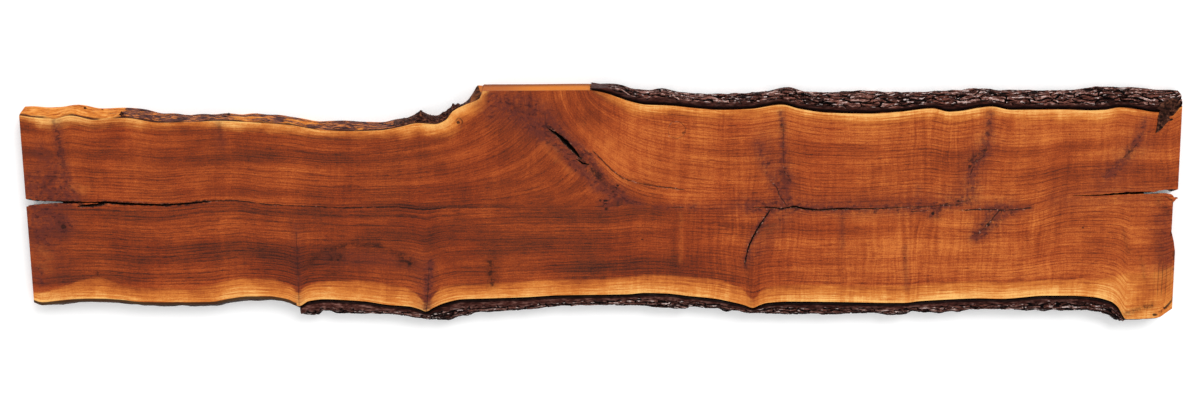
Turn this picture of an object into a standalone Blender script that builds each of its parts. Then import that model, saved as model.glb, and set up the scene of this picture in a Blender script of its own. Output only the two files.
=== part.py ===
"""A live-edge walnut slab: one sawn board of heartwood and sapwood with its bark still on two edges.

The slab lies flat, its figured face up. X runs along the grain, Y across it and Z up, in metres.
The origin is under the middle of the slab, on the surface that it lies on.
"""

import math

import bmesh
import bpy
import numpy as np

# Driving sizes of the slab
THICKNESS = 0.055
CENTRE_X = 0.0034
CENTRE_Y = -0.0191

# The live edges were drawn on the sawn face from the middle of the board, as (along, across)
UPPER_EDGE = (
    (-1.203, 0.181), (-1.170, 0.176), (-1.133, 0.173), (-1.097, 0.180), (-1.046, 0.171),
    (-0.984, 0.175), (-0.912, 0.165), (-0.850, 0.166), (-0.794, 0.169), (-0.725, 0.166),
    (-0.643, 0.160), (-0.581, 0.150), (-0.519, 0.147), (-0.456, 0.149), (-0.415, 0.156),
    (-0.377, 0.164), (-0.342, 0.162), (-0.319, 0.171), (-0.306, 0.188), (-0.283, 0.201),
    (-0.258, 0.211), (-0.248, 0.217), (-0.242, 0.232), (-0.145, 0.2325), (-0.026, 0.2335),
    (0.000, 0.230), (0.041, 0.217), (0.058, 0.211), (0.095, 0.203), (0.145, 0.201),
    (0.194, 0.196), (0.248, 0.192), (0.310, 0.194), (0.376, 0.203), (0.414, 0.194),
    (0.472, 0.186), (0.559, 0.184), (0.621, 0.188), (0.687, 0.195), (0.724, 0.188),
    (0.749, 0.190), (0.782, 0.196), (0.809, 0.199), (0.853, 0.192), (0.948, 0.193),
    (1.014, 0.191), (1.043, 0.192), (1.076, 0.197), (1.113, 0.193), (1.153, 0.187),
    (1.182, 0.187), (1.203, 0.200),
)
LOWER_EDGE = (
    (-1.196, -0.223), (-1.179, -0.228), (-1.148, -0.225), (-1.106, -0.221), (-1.065, -0.220),
    (-1.016, -0.222), (-0.972, -0.227), (-0.924, -0.228), (-0.865, -0.228), (-0.820, -0.227),
    (-0.782, -0.220), (-0.741, -0.215), (-0.701, -0.215), (-0.661, -0.221), (-0.636, -0.231),
    (-0.615, -0.220), (-0.583, -0.216), (-0.534, -0.218), (-0.494, -0.221), (-0.450, -0.228),
    (-0.402, -0.232), (-0.381, -0.238), (-0.368, -0.243), (-0.353, -0.235), (-0.328, -0.224),
    (-0.292, -0.216), (-0.232, -0.214), (-0.150, -0.211), (-0.084, -0.207), (-0.004, -0.206),
    (0.057, -0.205), (0.095, -0.202), (0.137, -0.203), (0.190, -0.209), (0.239, -0.214),
    (0.279, -0.222), (0.306, -0.229), (0.323, -0.235), (0.337, -0.229), (0.353, -0.224),
    (0.401, -0.221), (0.507, -0.222), (0.613, -0.224), (0.642, -0.224), (0.676, -0.220),
    (0.725, -0.217), (0.798, -0.214), (0.847, -0.215), (0.944, -0.208), (0.992, -0.208),
    (1.041, -0.211), (1.080, -0.221), (1.095, -0.233), (1.114, -0.260), (1.179, -0.257),
    (1.209, -0.235),
)
# How far the foot of the upper wall stands out past the sawn face; the sawn limb is almost square
UPPER_LEAN = (
    (-1.203, 0.008), (-1.130, 0.013), (-1.067, 0.013), (-0.984, 0.011), (-0.911, 0.009),
    (-0.838, 0.004), (-0.754, 0.004), (-0.702, 0.008), (-0.629, 0.005), (-0.524, 0.010),
    (-0.444, 0.006), (-0.400, 0.006), (-0.377, 0.012), (-0.345, 0.007), (-0.325, 0.008),
    (-0.308, 0.002), (-0.290, -0.007), (-0.278, -0.004), (-0.270, 0.004), (-0.262, 0.014),
    (-0.256, 0.021), (-0.250, 0.018), (-0.242, 0.003), (-0.020, 0.003), (0.080, 0.006),
    (1.209, 0.008),
)
LOWER_LEAN = (
    (-1.196, 0.017), (-0.700, 0.019), (0.400, 0.019), (1.080, 0.018), (1.209, 0.012),
)
WALL_LEVELS = (1.0, 0.8, 0.55, 0.28, 0.0)
# A live wall swells a little between face and foot and is uneven by long, shallow waves
WALL_BULGE = 0.0015
WALL_RIPPLE = 0.0012
WALL_WAVE_LONG = 0.075
WALL_WAVE_HIGH = 0.060
# The unevenness starts under the face and is whole this many times sooner than the foot is reached
ROUGH_SOONER = 2.5
# Between these places the upper edge is the sawn limb, which is smooth: where it starts and ends
LIMB_START = (-0.262, -0.246)
LIMB_END = (-0.020, 0.060)

# The outer line of the bark, where it stands out the most
UPPER_BARK = (
    (-0.026, 0.2375), (0.000, 0.238), (0.033, 0.239), (0.067, 0.230), (0.094, 0.226),
    (0.129, 0.230), (0.167, 0.222), (0.198, 0.220), (0.244, 0.218), (0.292, 0.220),
    (0.337, 0.222), (0.391, 0.233), (0.427, 0.224), (0.479, 0.222), (0.542, 0.225),
    (0.625, 0.222), (0.750, 0.227), (0.781, 0.230), (0.833, 0.227), (0.958, 0.226),
    (1.006, 0.230), (1.041, 0.234), (1.114, 0.232), (1.166, 0.227), (1.203, 0.226),
)
LOWER_BARK = (
    (-0.640, -0.250), (-0.632, -0.256), (-0.597, -0.256), (-0.588, -0.249), (-0.574, -0.249),
    (-0.559, -0.254), (-0.467, -0.254), (-0.431, -0.257), (-0.383, -0.264), (-0.336, -0.268),
    (-0.308, -0.264), (-0.255, -0.251), (-0.170, -0.246), (-0.085, -0.238), (-0.032, -0.235),
    (0.085, -0.235), (0.127, -0.241), (0.183, -0.243), (0.191, -0.239), (0.255, -0.245),
    (0.319, -0.252), (0.446, -0.256), (0.574, -0.252), (0.627, -0.257), (0.648, -0.255),
    (0.663, -0.249), (0.697, -0.252), (0.739, -0.250), (0.807, -0.244), (0.945, -0.248),
    (1.030, -0.247), (1.073, -0.255), (1.106, -0.269), (1.114, -0.271),
)
UPPER_BARK_ENDS = (-0.018, 1.195)
LOWER_BARK_ENDS = (-0.634, 1.110)
# The bark's outer side from its sawn top to its foot: (share of the width left out, height)
UPPER_BARK_SIDE = (
    (0.56, 0.0548), (0.40, 0.050), (0.20, 0.041), (0.06, 0.030), (0.0, 0.018), (0.05, 0.007),
)
LOWER_BARK_SIDE = (
    (0.62, 0.0548), (0.30, 0.050), (0.08, 0.043), (0.0, 0.033), (-0.05, 0.019), (-0.03, 0.007),
)
BARK_FOOT = 0.002
BARK_FOOT_INSET = 0.0015
# The bark is never thinner than this, and near its sawn top never thinner than this share of it
BARK_LEAST = 0.0045
TOP_SHARE = 0.6
BARK_TOP_STARTS = 0.050
BARK_RIPPLE = 0.0022
BARK_WAVE_LONG = 0.055
BARK_WAVE_HIGH = 0.030
BARK_FULL_WIDTH = 0.020
BARK_GROOVE = 0.003
BARK_GAP = 0.0005
# The upper bark starts as a plain sawn section and is ridged from here on
SAWN_SECTION_END = (0.005, 0.045)

# The ends are cut a little out of square: x on the middle line, and its change across the slab
LEFT_END = (-1.1999, -0.0173)
RIGHT_END = (1.2070, -0.0120)

# Spacing of the drawn sections, and the places where an edge turns sharply
STATION = 0.0125
SHARP_AT = (
    -1.179, -0.634, -0.628, -0.597, -0.588, -0.368, -0.319, -0.306, -0.262, -0.256, -0.249,
    -0.242, -0.018, 0.041, 0.183, 0.191, 0.323, 0.648, 0.663, 1.095, 1.110, 1.179, 1.192,
)
# A regular section closer to a sharp place than this share of the spacing is left out
TOO_CLOSE = 0.35
# No regular section stands nearer to the slanted ends than this
CLEAR_OF_LEFT_END = 0.004
CLEAR_OF_RIGHT_END = 0.008

# Splits and checks: (along, across, half the width on the face, depth). THROUGH is past the thickness.
# The bottom of each is the given share of its width, wider where it goes through
THROUGH = 0.060
SPLIT_FLOOR = 0.45
SPLIT_FLOOR_THROUGH = 0.8
SPLIT_ABOVE_FACE = 0.002
LEFT_SPLIT = (
    (-1.230, -0.005, 0.0105, THROUGH), (-1.198, -0.005, 0.0078, THROUGH),
    (-1.179, -0.0053, 0.0048, THROUGH), (-1.150, -0.0045, 0.0027, THROUGH),
    (-1.108, -0.0045, 0.0019, 0.045), (-1.066, -0.0060, 0.0019, 0.038),
    (-1.033, -0.0050, 0.0021, 0.032), (-0.995, -0.0085, 0.0020, 0.028),
    (-0.914, -0.0110, 0.0013, 0.020), (-0.855, -0.0050, 0.0010, 0.012),
    (-0.800, -0.0010, 0.0006, 0.005),
)
LEFT_POCKET = (
    (-1.092, -0.0120, 0.0010, 0.008), (-1.066, -0.0110, 0.0026, 0.016),
    (-1.037, -0.0090, 0.0016, 0.010),
)
RIGHT_SPLIT = (
    (0.987, 0.0090, 0.0006, 0.006), (1.045, 0.0105, 0.0011, 0.020), (1.097, 0.0145, 0.0021, 0.036),
    (1.129, 0.0155, 0.0023, 0.046), (1.160, 0.0155, 0.0022, THROUGH), (1.181, 0.0190, 0.0038, THROUGH),
    (1.197, 0.0170, 0.0066, THROUGH), (1.225, 0.0080, 0.0120, THROUGH),
)
CROTCH_CRACK = (
    (-0.107, 0.152, 0.0008, 0.010), (-0.086, 0.138, 0.0026, 0.024), (-0.071, 0.123, 0.0034, 0.030),
    (-0.058, 0.110, 0.0030, 0.026), (-0.041, 0.090, 0.0008, 0.010),
)
CROTCH_FORK = (
    (-0.0495, 0.0875, 0.0008, 0.006), (-0.036, 0.079, 0.0020, 0.014),
    (-0.021, 0.0752, 0.0006, 0.005),
)
MIDDLE_CHECK = (
    (0.319, -0.0170, 0.0006, 0.004), (0.350, -0.0165, 0.0013, 0.007), (0.380, -0.0190, 0.0009, 0.006),
    (0.407, -0.0145, 0.0013, 0.007), (0.447, -0.0210, 0.0012, 0.007), (0.520, -0.0190, 0.0009, 0.006),
    (0.590, -0.0180, 0.0009, 0.005), (0.657, -0.0125, 0.0005, 0.004),
)
SLANTING_CHECK = (
    (0.357, -0.0215, 0.0004, 0.004), (0.336, -0.0510, 0.0010, 0.008), (0.319, -0.0810, 0.0013, 0.009),
    (0.314, -0.1000, 0.0010, 0.008), (0.307, -0.1340, 0.0005, 0.004),
)
# The lower half has lost the corner beside the right split
CHIPPED_END = (
    (1.2045, 0.0025), (1.1980, -0.006), (1.2015, -0.108), (1.2095, -0.218), (1.2300, -0.218),
    (1.2300, 0.0025),
)
CHIP_PAST_FACES = 0.005
# Faces that meet at more than this many degrees keep a crisp edge
CRISP_ABOVE = 35


def clear_scene():
    for thing in list(bpy.data.objects):
        bpy.data.objects.remove(thing, do_unlink=True)


def smooth_through(points, at):
    """Heights at the places `at` of a curve through hand-placed points, which never swings past them."""
    x, y = np.array(points).T
    step = np.diff(x)
    slope = np.diff(y) / step
    same_way = slope[:-1] * slope[1:] > 0
    total = np.where(same_way, slope[:-1] + slope[1:], 1)
    middle = np.where(same_way, 2 * slope[:-1] * slope[1:] / total, 0)
    tangent = np.concatenate([slope[:1], middle, slope[-1:]])
    i = np.clip(np.searchsorted(x, at, side="right") - 1, 0, len(step) - 1)
    t = np.clip((at - x[i]) / step[i], 0, 1)
    start = (1 + 2 * t) * (1 - t) ** 2 * y[i] + t * (1 - t) ** 2 * step[i] * tangent[i]
    end = t * t * (3 - 2 * t) * y[i + 1] - t * t * (1 - t) * step[i] * tangent[i + 1]
    return start + end


def ripple(x, z, length, height, seed):
    """Unevenness between about -1 and 1: seeded waves about `length` long and `height` high."""
    draw = np.random.default_rng(seed)
    total = 0.0
    for _ in range(6):
        along = draw.uniform(0.6, 1.7) / length
        up = draw.uniform(-1.2, 1.2) / height
        total = total + np.sin(2 * math.pi * (along * x + up * z + draw.uniform()))
    return total / 3


def fade(x, start, end):
    """0 before start, 1 after end, smooth between."""
    t = np.clip((x - start) / (end - start), 0, 1)
    return t * t * (3 - 2 * t)


def stations():
    """Places along the slab where a section is drawn."""
    grid = np.arange(LEFT_END[0], RIGHT_END[0], STATION)
    sharp = np.array(SHARP_AT)
    apart = np.abs(grid[:, None] - sharp[None, :]).min(axis=1) > TOO_CLOSE * STATION
    inside = (grid > LEFT_END[0] + CLEAR_OF_LEFT_END) & (grid < RIGHT_END[0] - CLEAR_OF_RIGHT_END)
    between = np.sort(np.concatenate([grid[apart & inside], sharp]))
    return np.concatenate([[LEFT_END[0]], between, [RIGHT_END[0]]])


def wall(upper, x, z):
    """Where the wood's live edge stands at place x and height z."""
    depth = 1 - z / THICKNESS
    edge = smooth_through(UPPER_EDGE if upper else LOWER_EDGE, x)
    lean = smooth_through(UPPER_LEAN if upper else LOWER_LEAN, x)
    limb = fade(x, *LIMB_START) * (1 - fade(x, *LIMB_END)) if upper else 0.0
    rough = (1 - limb) * np.sin(math.pi * min(depth * ROUGH_SOONER, 0.5))
    out = lean * depth + WALL_BULGE * rough * np.sin(math.pi * depth)
    seed = 11 if upper else 12
    out = out + WALL_RIPPLE * rough * ripple(x, z, WALL_WAVE_LONG, WALL_WAVE_HIGH, seed)
    return edge + out if upper else edge - out


def faceted_wall(upper, x, z):
    """The same wall as the solid has it, straight between the drawn levels."""
    heights = np.array(WALL_LEVELS[::-1]) * THICKNESS
    levels = np.array([wall(upper, x, height) for height in heights])
    return np.interp(z, heights, levels)


def at_end(x, y):
    """The x of a point of a section: the two end sections follow the saw cuts."""
    if x == LEFT_END[0]:
        return LEFT_END[0] + LEFT_END[1] * y
    if x == RIGHT_END[0]:
        return RIGHT_END[0] + RIGHT_END[1] * y
    return x


def placed(x, y, z):
    return (at_end(x, y) - CENTRE_X, y - CENTRE_Y, z)


def wood_section(x):
    """Down the upper wall and up the lower one, from the sawn face to the underside."""
    heights = [level * THICKNESS for level in WALL_LEVELS]
    upper = [placed(x, wall(True, x, z), z) for z in heights]
    lower = [placed(x, wall(False, x, z), z) for z in reversed(heights)]
    return upper + lower


def bark_section(upper, x):
    """Down the bark's inner side, which follows the wood, and back up its ridged outer side."""
    way = 1 if upper else -1
    face = wall(upper, x, THICKNESS)
    outer = smooth_through(UPPER_BARK if upper else LOWER_BARK, x)
    width = (outer - face) * way
    sawn = 1 - fade(x, *SAWN_SECTION_END) if upper else 0.0
    seed = 21 if upper else 22
    heights = [THICKNESS - BARK_GROOVE]
    heights += [level * THICKNESS for level in WALL_LEVELS[1:-1]]
    heights += [BARK_FOOT]
    inner = [(faceted_wall(upper, x, z) + way * BARK_GAP, z) for z in heights]
    side = []
    for left_out, z in UPPER_BARK_SIDE if upper else LOWER_BARK_SIDE:
        uneven = BARK_RIPPLE * (1 - sawn) * ripple(x, z, BARK_WAVE_LONG, BARK_WAVE_HIGH, seed)
        out = width * (1 - left_out * (1 - sawn)) + uneven * min(1, width / BARK_FULL_WIDTH)
        thin = BARK_LEAST * (1 if z < BARK_TOP_STARTS else TOP_SHARE)
        least = (faceted_wall(upper, x, z) - face) * way + BARK_GAP + thin
        side.append((face + way * max(out, least), z))
    lip = min(BARK_GROOVE, 0.4 * abs(side[0][0] - inner[0][0]))
    rim = [(inner[0][0] + way * lip, THICKNESS)]
    foot = [(side[-1][0] - way * BARK_FOOT_INSET, BARK_FOOT)]
    ring = inner + foot + side[::-1] + rim
    if not upper:
        ring = ring[::-1]
    return [placed(x, y, z) for y, z in ring]


def plain_material(name, colour, roughness):
    material = bpy.data.materials.new(name)
    material.use_nodes = True
    shader = material.node_tree.nodes["Principled BSDF"]
    shader.inputs["Base Color"].default_value = (*colour, 1)
    shader.inputs["Roughness"].default_value = roughness
    shader.inputs["Metallic"].default_value = 0
    return material


def loft(name, rings):
    """A closed solid through rings of points, with a flat face over each end."""
    count = len(rings[0])
    shape = bmesh.new()
    rows = [[shape.verts.new(point) for point in ring] for ring in rings]
    for near, far in zip(rows, rows[1:]):
        for i in range(count):
            j = (i + 1) % count
            shape.faces.new((near[i], far[i], far[j]))
            shape.faces.new((near[i], far[j], near[j]))
    ends = [shape.faces.new(rows[0]), shape.faces.new(rows[-1])]
    bmesh.ops.triangulate(shape, faces=ends)
    bmesh.ops.recalc_face_normals(shape, faces=shape.faces[:])
    mesh = bpy.data.meshes.new(name)
    shape.to_mesh(mesh)
    shape.free()
    solid = bpy.data.objects.new(name, mesh)
    bpy.context.scene.collection.objects.link(solid)
    return solid


def finish(solid, material):
    solid.data.materials.append(material)
    solid.data.shade_smooth()
    solid.data.set_sharp_from_angle(angle=math.radians(CRISP_ABOVE))


def build_wood():
    """The board itself, from sawn face to sawn underside."""
    solid = loft("slab_wood", [wood_section(x) for x in stations()])
    finish(solid, plain_material("oiled walnut", (0.33, 0.085, 0.025), 0.42))
    return solid


def build_bark(upper):
    """One strip of bark that still grips its edge of the board."""
    start, end = UPPER_BARK_ENDS if upper else LOWER_BARK_ENDS
    places = [x for x in stations() if start <= x <= end]
    if upper:
        places.append(RIGHT_END[0])
    name = "bark_upper" if upper else "bark_lower"
    solid = loft(name, [bark_section(upper, x) for x in places])
    finish(solid, plain_material("rough bark", (0.095, 0.060, 0.052), 0.75))


def crack_cutter(name, path):
    """A wedge that opens the face along a path, narrower at its bottom."""
    rings = []
    for i, (x, y, half, depth) in enumerate(path):
        before = path[max(i - 1, 0)]
        after = path[min(i + 1, len(path) - 1)]
        length = math.hypot(after[0] - before[0], after[1] - before[1])
        side = (-(after[1] - before[1]) / length, (after[0] - before[0]) / length)
        bottom = half * (SPLIT_FLOOR if depth < THROUGH else SPLIT_FLOOR_THROUGH)
        corners = ((half, THICKNESS + SPLIT_ABOVE_FACE), (bottom, THICKNESS - depth))
        ring = [(x + side[0] * out, y + side[1] * out, z) for out, z in corners]
        ring += [(x - side[0] * out, y - side[1] * out, z) for out, z in reversed(corners)]
        rings.append([(px - CENTRE_X, py - CENTRE_Y, z) for px, py, z in ring])
    return loft(name, rings)


def chip_cutter():
    """What the right end has lost beside its split."""
    rings = []
    for z in (-CHIP_PAST_FACES, THICKNESS + CHIP_PAST_FACES):
        rings.append([(x - CENTRE_X, y - CENTRE_Y, z) for x, y in CHIPPED_END])
    return loft("chipped_end", rings)


def open_cracks(solid):
    paths = {
        "left_split": LEFT_SPLIT,
        "left_pocket": LEFT_POCKET,
        "right_split": RIGHT_SPLIT,
        "crotch_crack": CROTCH_CRACK,
        "crotch_fork": CROTCH_FORK,
        "middle_check": MIDDLE_CHECK,
        "slanting_check": SLANTING_CHECK,
    }
    cutters = [chip_cutter()] + [crack_cutter(name, path) for name, path in paths.items()]
    for cutter in cutters:
        cutter.hide_render = True
        cutter.display_type = "WIRE"
        cut = solid.modifiers.new(cutter.name, "BOOLEAN")
        cut.operation = "DIFFERENCE"
        cut.solver = "EXACT"
        cut.object = cutter


clear_scene()
board = build_wood()
open_cracks(board)
build_bark(upper=True)
build_bark(upper=False)
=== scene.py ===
import math

import bpy
import numpy as np
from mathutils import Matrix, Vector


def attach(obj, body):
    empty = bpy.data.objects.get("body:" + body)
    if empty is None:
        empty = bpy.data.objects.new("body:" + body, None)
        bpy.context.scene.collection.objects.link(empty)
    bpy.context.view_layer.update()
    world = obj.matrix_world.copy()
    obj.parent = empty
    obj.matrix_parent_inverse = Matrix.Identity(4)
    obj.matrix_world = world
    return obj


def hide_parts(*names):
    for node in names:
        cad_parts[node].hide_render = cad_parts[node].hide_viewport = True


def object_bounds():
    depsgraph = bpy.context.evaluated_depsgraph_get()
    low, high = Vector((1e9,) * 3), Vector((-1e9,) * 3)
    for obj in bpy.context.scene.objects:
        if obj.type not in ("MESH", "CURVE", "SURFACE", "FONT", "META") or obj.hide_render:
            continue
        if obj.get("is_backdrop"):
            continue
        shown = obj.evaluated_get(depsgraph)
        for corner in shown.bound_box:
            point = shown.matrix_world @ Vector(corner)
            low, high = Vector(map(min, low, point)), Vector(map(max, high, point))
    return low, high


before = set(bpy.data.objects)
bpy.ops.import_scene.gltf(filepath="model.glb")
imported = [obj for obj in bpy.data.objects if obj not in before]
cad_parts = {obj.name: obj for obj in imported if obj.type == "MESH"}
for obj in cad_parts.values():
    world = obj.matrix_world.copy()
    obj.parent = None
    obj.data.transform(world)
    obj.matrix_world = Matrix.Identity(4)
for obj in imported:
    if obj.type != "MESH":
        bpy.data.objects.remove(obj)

cad_low, cad_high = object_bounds()

# The board: a walnut plank sawn through the heart of the trunk where a limb left it, and oiled on
# its face. The saw left it flat above and below. Its long edges are the tree's own, and both ends
# have split along the pith while it dried.
THICKNESS = 0.055
CENTRE_X = 0.0034
CENTRE_Y = -0.0191

# Places below are (along, across) from the middle of the face
UPPER_EDGE = (
    (-1.203, 0.181), (-1.170, 0.176), (-1.133, 0.173), (-1.097, 0.180), (-1.046, 0.171),
    (-0.984, 0.175), (-0.912, 0.165), (-0.850, 0.166), (-0.794, 0.169), (-0.725, 0.166),
    (-0.643, 0.160), (-0.581, 0.150), (-0.519, 0.147), (-0.456, 0.149), (-0.415, 0.156),
    (-0.377, 0.164), (-0.342, 0.162), (-0.319, 0.171), (-0.306, 0.188), (-0.283, 0.201),
    (-0.258, 0.211), (-0.248, 0.217), (-0.242, 0.232), (-0.145, 0.2325), (-0.026, 0.2335),
    (0.000, 0.230), (0.041, 0.217), (0.058, 0.211), (0.095, 0.203), (0.145, 0.201),
    (0.194, 0.196), (0.248, 0.192), (0.310, 0.194), (0.376, 0.203), (0.414, 0.194),
    (0.472, 0.186), (0.559, 0.184), (0.621, 0.188), (0.687, 0.195), (0.724, 0.188),
    (0.749, 0.190), (0.782, 0.196), (0.809, 0.199), (0.853, 0.192), (0.948, 0.193),
    (1.014, 0.191), (1.043, 0.192), (1.076, 0.197), (1.113, 0.193), (1.153, 0.187),
    (1.182, 0.187), (1.203, 0.200),
)
LOWER_EDGE = (
    (-1.196, -0.223), (-1.179, -0.228), (-1.148, -0.225), (-1.106, -0.221), (-1.065, -0.220),
    (-1.016, -0.222), (-0.972, -0.227), (-0.924, -0.228), (-0.865, -0.228), (-0.820, -0.227),
    (-0.782, -0.220), (-0.741, -0.215), (-0.701, -0.215), (-0.661, -0.221), (-0.636, -0.231),
    (-0.615, -0.220), (-0.583, -0.216), (-0.534, -0.218), (-0.494, -0.221), (-0.450, -0.228),
    (-0.402, -0.232), (-0.381, -0.238), (-0.368, -0.243), (-0.353, -0.235), (-0.328, -0.224),
    (-0.292, -0.216), (-0.232, -0.214), (-0.150, -0.211), (-0.084, -0.207), (-0.004, -0.206),
    (0.057, -0.205), (0.095, -0.202), (0.137, -0.203), (0.190, -0.209), (0.239, -0.214),
    (0.279, -0.222), (0.306, -0.229), (0.323, -0.235), (0.337, -0.229), (0.353, -0.224),
    (0.401, -0.221), (0.507, -0.222), (0.613, -0.224), (0.642, -0.224), (0.676, -0.220),
    (0.725, -0.217), (0.798, -0.214), (0.847, -0.215), (0.944, -0.208), (0.992, -0.208),
    (1.041, -0.211), (1.080, -0.221), (1.095, -0.233), (1.114, -0.260), (1.179, -0.257),
    (1.209, -0.235),
)
# How far the foot of each wall stands out past the face
UPPER_LEAN = (
    (-1.203, 0.008), (-1.130, 0.013), (-1.067, 0.013), (-0.984, 0.011), (-0.911, 0.009),
    (-0.838, 0.004), (-0.754, 0.004), (-0.702, 0.008), (-0.629, 0.005), (-0.524, 0.010),
    (-0.444, 0.006), (-0.400, 0.006), (-0.377, 0.012), (-0.345, 0.007), (-0.325, 0.008),
    (-0.308, 0.002), (-0.290, -0.007), (-0.278, -0.004), (-0.270, 0.004), (-0.262, 0.014),
    (-0.256, 0.021), (-0.250, 0.018), (-0.242, 0.003), (-0.020, 0.003), (0.080, 0.006),
    (1.209, 0.008),
)
LOWER_LEAN = (
    (-1.196, 0.017), (-0.700, 0.019), (0.400, 0.019), (1.080, 0.018), (1.209, 0.012),
)
WALL_BULGE = 0.0015
WALL_RIPPLE = 0.0012
# The sawn limb's square cut begins and ends between these places, and the wall is smooth there
LIMB_FROM = (-0.262, -0.246)
LIMB_TO = (-0.02, 0.06)
LEFT_END = (-1.1999, -0.0173)
RIGHT_END = (1.2070, -0.0120)

# The mesh: sections this far apart, and points across the face, down a wall and across below
BOARD_STEP = 0.0044
FACE_POINTS = 92
WALL_POINTS = 16
UNDER_POINTS = 18
SHARP_PLACES = (
    -1.179, -0.636, -0.368, -0.319, -0.306, -0.262, -0.256, -0.249, -0.242, -0.026, 0.323,
    1.095, 1.114, 1.179, 1.192,
)


def smooth_through(points, at):
    """The heights at some places of a curve through points, which never swings past them."""
    x, y = np.array(points).T
    step = np.diff(x)
    slope = np.diff(y) / step
    same_way = slope[:-1] * slope[1:] > 0
    total = np.where(same_way, slope[:-1] + slope[1:], 1)
    middle = np.where(same_way, 2 * slope[:-1] * slope[1:] / total, 0)
    tangent = np.concatenate([slope[:1], middle, slope[-1:]])
    i = np.clip(np.searchsorted(x, at, side="right") - 1, 0, len(step) - 1)
    t = np.clip((at - x[i]) / step[i], 0, 1)
    start = (1 + 2 * t) * (1 - t) ** 2 * y[i] + t * (1 - t) ** 2 * step[i] * tangent[i]
    end = t * t * (3 - 2 * t) * y[i + 1] - t * t * (1 - t) * step[i] * tangent[i + 1]
    return start + end


def ripple(x, z, length, height, seed):
    """Unevenness between about -1 and 1: seeded waves about `length` long and `height` high."""
    draw = np.random.default_rng(seed)
    total = 0.0
    for _ in range(6):
        along = draw.uniform(0.6, 1.7) / length
        up = draw.uniform(-1.2, 1.2) / height
        total = total + np.sin(2 * math.pi * (along * x + up * z + draw.uniform()))
    return total / 3


def fade(x, start, end):
    """0 before start, 1 after end, smooth between."""
    t = np.clip((x - start) / (end - start), 0, 1)
    return t * t * (3 - 2 * t)


def off_limb(upper, x):
    """1 where the edge is the tree's own, and 0 where the limb was sawn off."""
    return 1 - fade(x, *LIMB_FROM) * (1 - fade(x, *LIMB_TO)) if upper else 1.0


def wall(upper, x, z):
    """Where the wood's live edge stands at place x and height z."""
    depth = 1 - z / THICKNESS
    edge = smooth_through(UPPER_EDGE if upper else LOWER_EDGE, x)
    lean = smooth_through(UPPER_LEAN if upper else LOWER_LEAN, x)
    rough = off_limb(upper, x) * np.sin(math.pi * np.minimum(depth * 2.5, 0.5))
    out = lean * depth + WALL_BULGE * rough * np.sin(math.pi * depth)
    out = out + WALL_RIPPLE * rough * ripple(x, z, 0.075, 0.060, 11 if upper else 12)
    return edge + out if upper else edge - out


# Short stubs of inner bark that stand on the bare upper wall: (along, height, how far out)
NUBS = (
    (-0.990, 0.040, 0.0030), (-0.775, 0.044, 0.0026), (-1.100, 0.036, 0.0012),
    (-1.193, 0.045, 0.0020),
)
NUB_WIDTH = 0.0042
# Next to both faces the wall stays smooth for this far
SMOOTH_RIM = 0.004
# How high its small and broad scales are, and the lower wall's share of that
FINE_SCALES = 0.00035
BROAD_SCALES = 0.0005
LOWER_SCALES = 0.6


def worn_wall(upper, x, z):
    """The wall with its small scales and stubs, which the saw cut off level with the face."""
    rough = off_limb(upper, x)
    rough = rough * fade(THICKNESS - z, 0.0, SMOOTH_RIM) * fade(z, 0.0, SMOOTH_RIM)
    out = FINE_SCALES * ripple(x, z, 0.011, 0.012, 31)
    out = out + BROAD_SCALES * ripple(x, z, 0.031, 0.016, 32)
    if upper:
        for along, height, far in NUBS:
            away = ((x - along) / NUB_WIDTH) ** 2 + ((z - height) / (2 * NUB_WIDTH)) ** 2
            out = out + far * np.exp(-away)
    else:
        out = out * LOWER_SCALES
    return wall(upper, x, z) + (rough * out if upper else -rough * out)


def points_of(piece):
    """Where the piece's vertices stand, one row each."""
    co = np.empty(len(piece.data.vertices) * 3)
    piece.data.vertices.foreach_get("co", co)
    return co.reshape(-1, 3)


def pick(piece):
    """Makes the piece the only one that the next tool works on."""
    bpy.ops.object.select_all(action="DESELECT")
    bpy.context.view_layer.objects.active = piece
    piece.select_set(True)


def wrapped_grid(name, rings):
    """A grid wrapped round rings of points, its seam merged and both ends closed."""
    along, around = rings.shape[:2]
    bpy.ops.object.select_all(action="DESELECT")
    bpy.ops.mesh.primitive_grid_add(x_subdivisions=along - 1, y_subdivisions=around, size=2)
    piece = bpy.context.object
    piece.name = name
    flat = points_of(piece)
    i = np.rint((flat[:, 0] + 1) / 2 * (along - 1)).astype(int)
    j = np.rint((flat[:, 1] + 1) / 2 * around).astype(int) % around
    piece.data.vertices.foreach_set("co", rings[i, j].ravel())
    bpy.ops.object.mode_set(mode="EDIT")
    bpy.ops.mesh.select_all(action="SELECT")
    bpy.ops.mesh.remove_doubles(threshold=1e-7)
    bpy.ops.mesh.fill_holes(sides=0)
    bpy.ops.mesh.select_all(action="SELECT")
    bpy.ops.mesh.normals_make_consistent(inside=False)
    bpy.ops.object.mode_set(mode="OBJECT")
    return piece


def sections(step, sharp):
    """Places of the sections along the board, closer where an edge turns sharply."""
    grid = np.arange(LEFT_END[0] + step, RIGHT_END[0] - 0.012, step)
    apart = np.abs(grid[:, None] - np.array(sharp)[None, :]).min(axis=1) > 0.3 * step
    between = np.sort(np.concatenate([grid[apart], sharp]))
    return np.concatenate([[LEFT_END[0]], between, [RIGHT_END[0]]])


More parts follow.
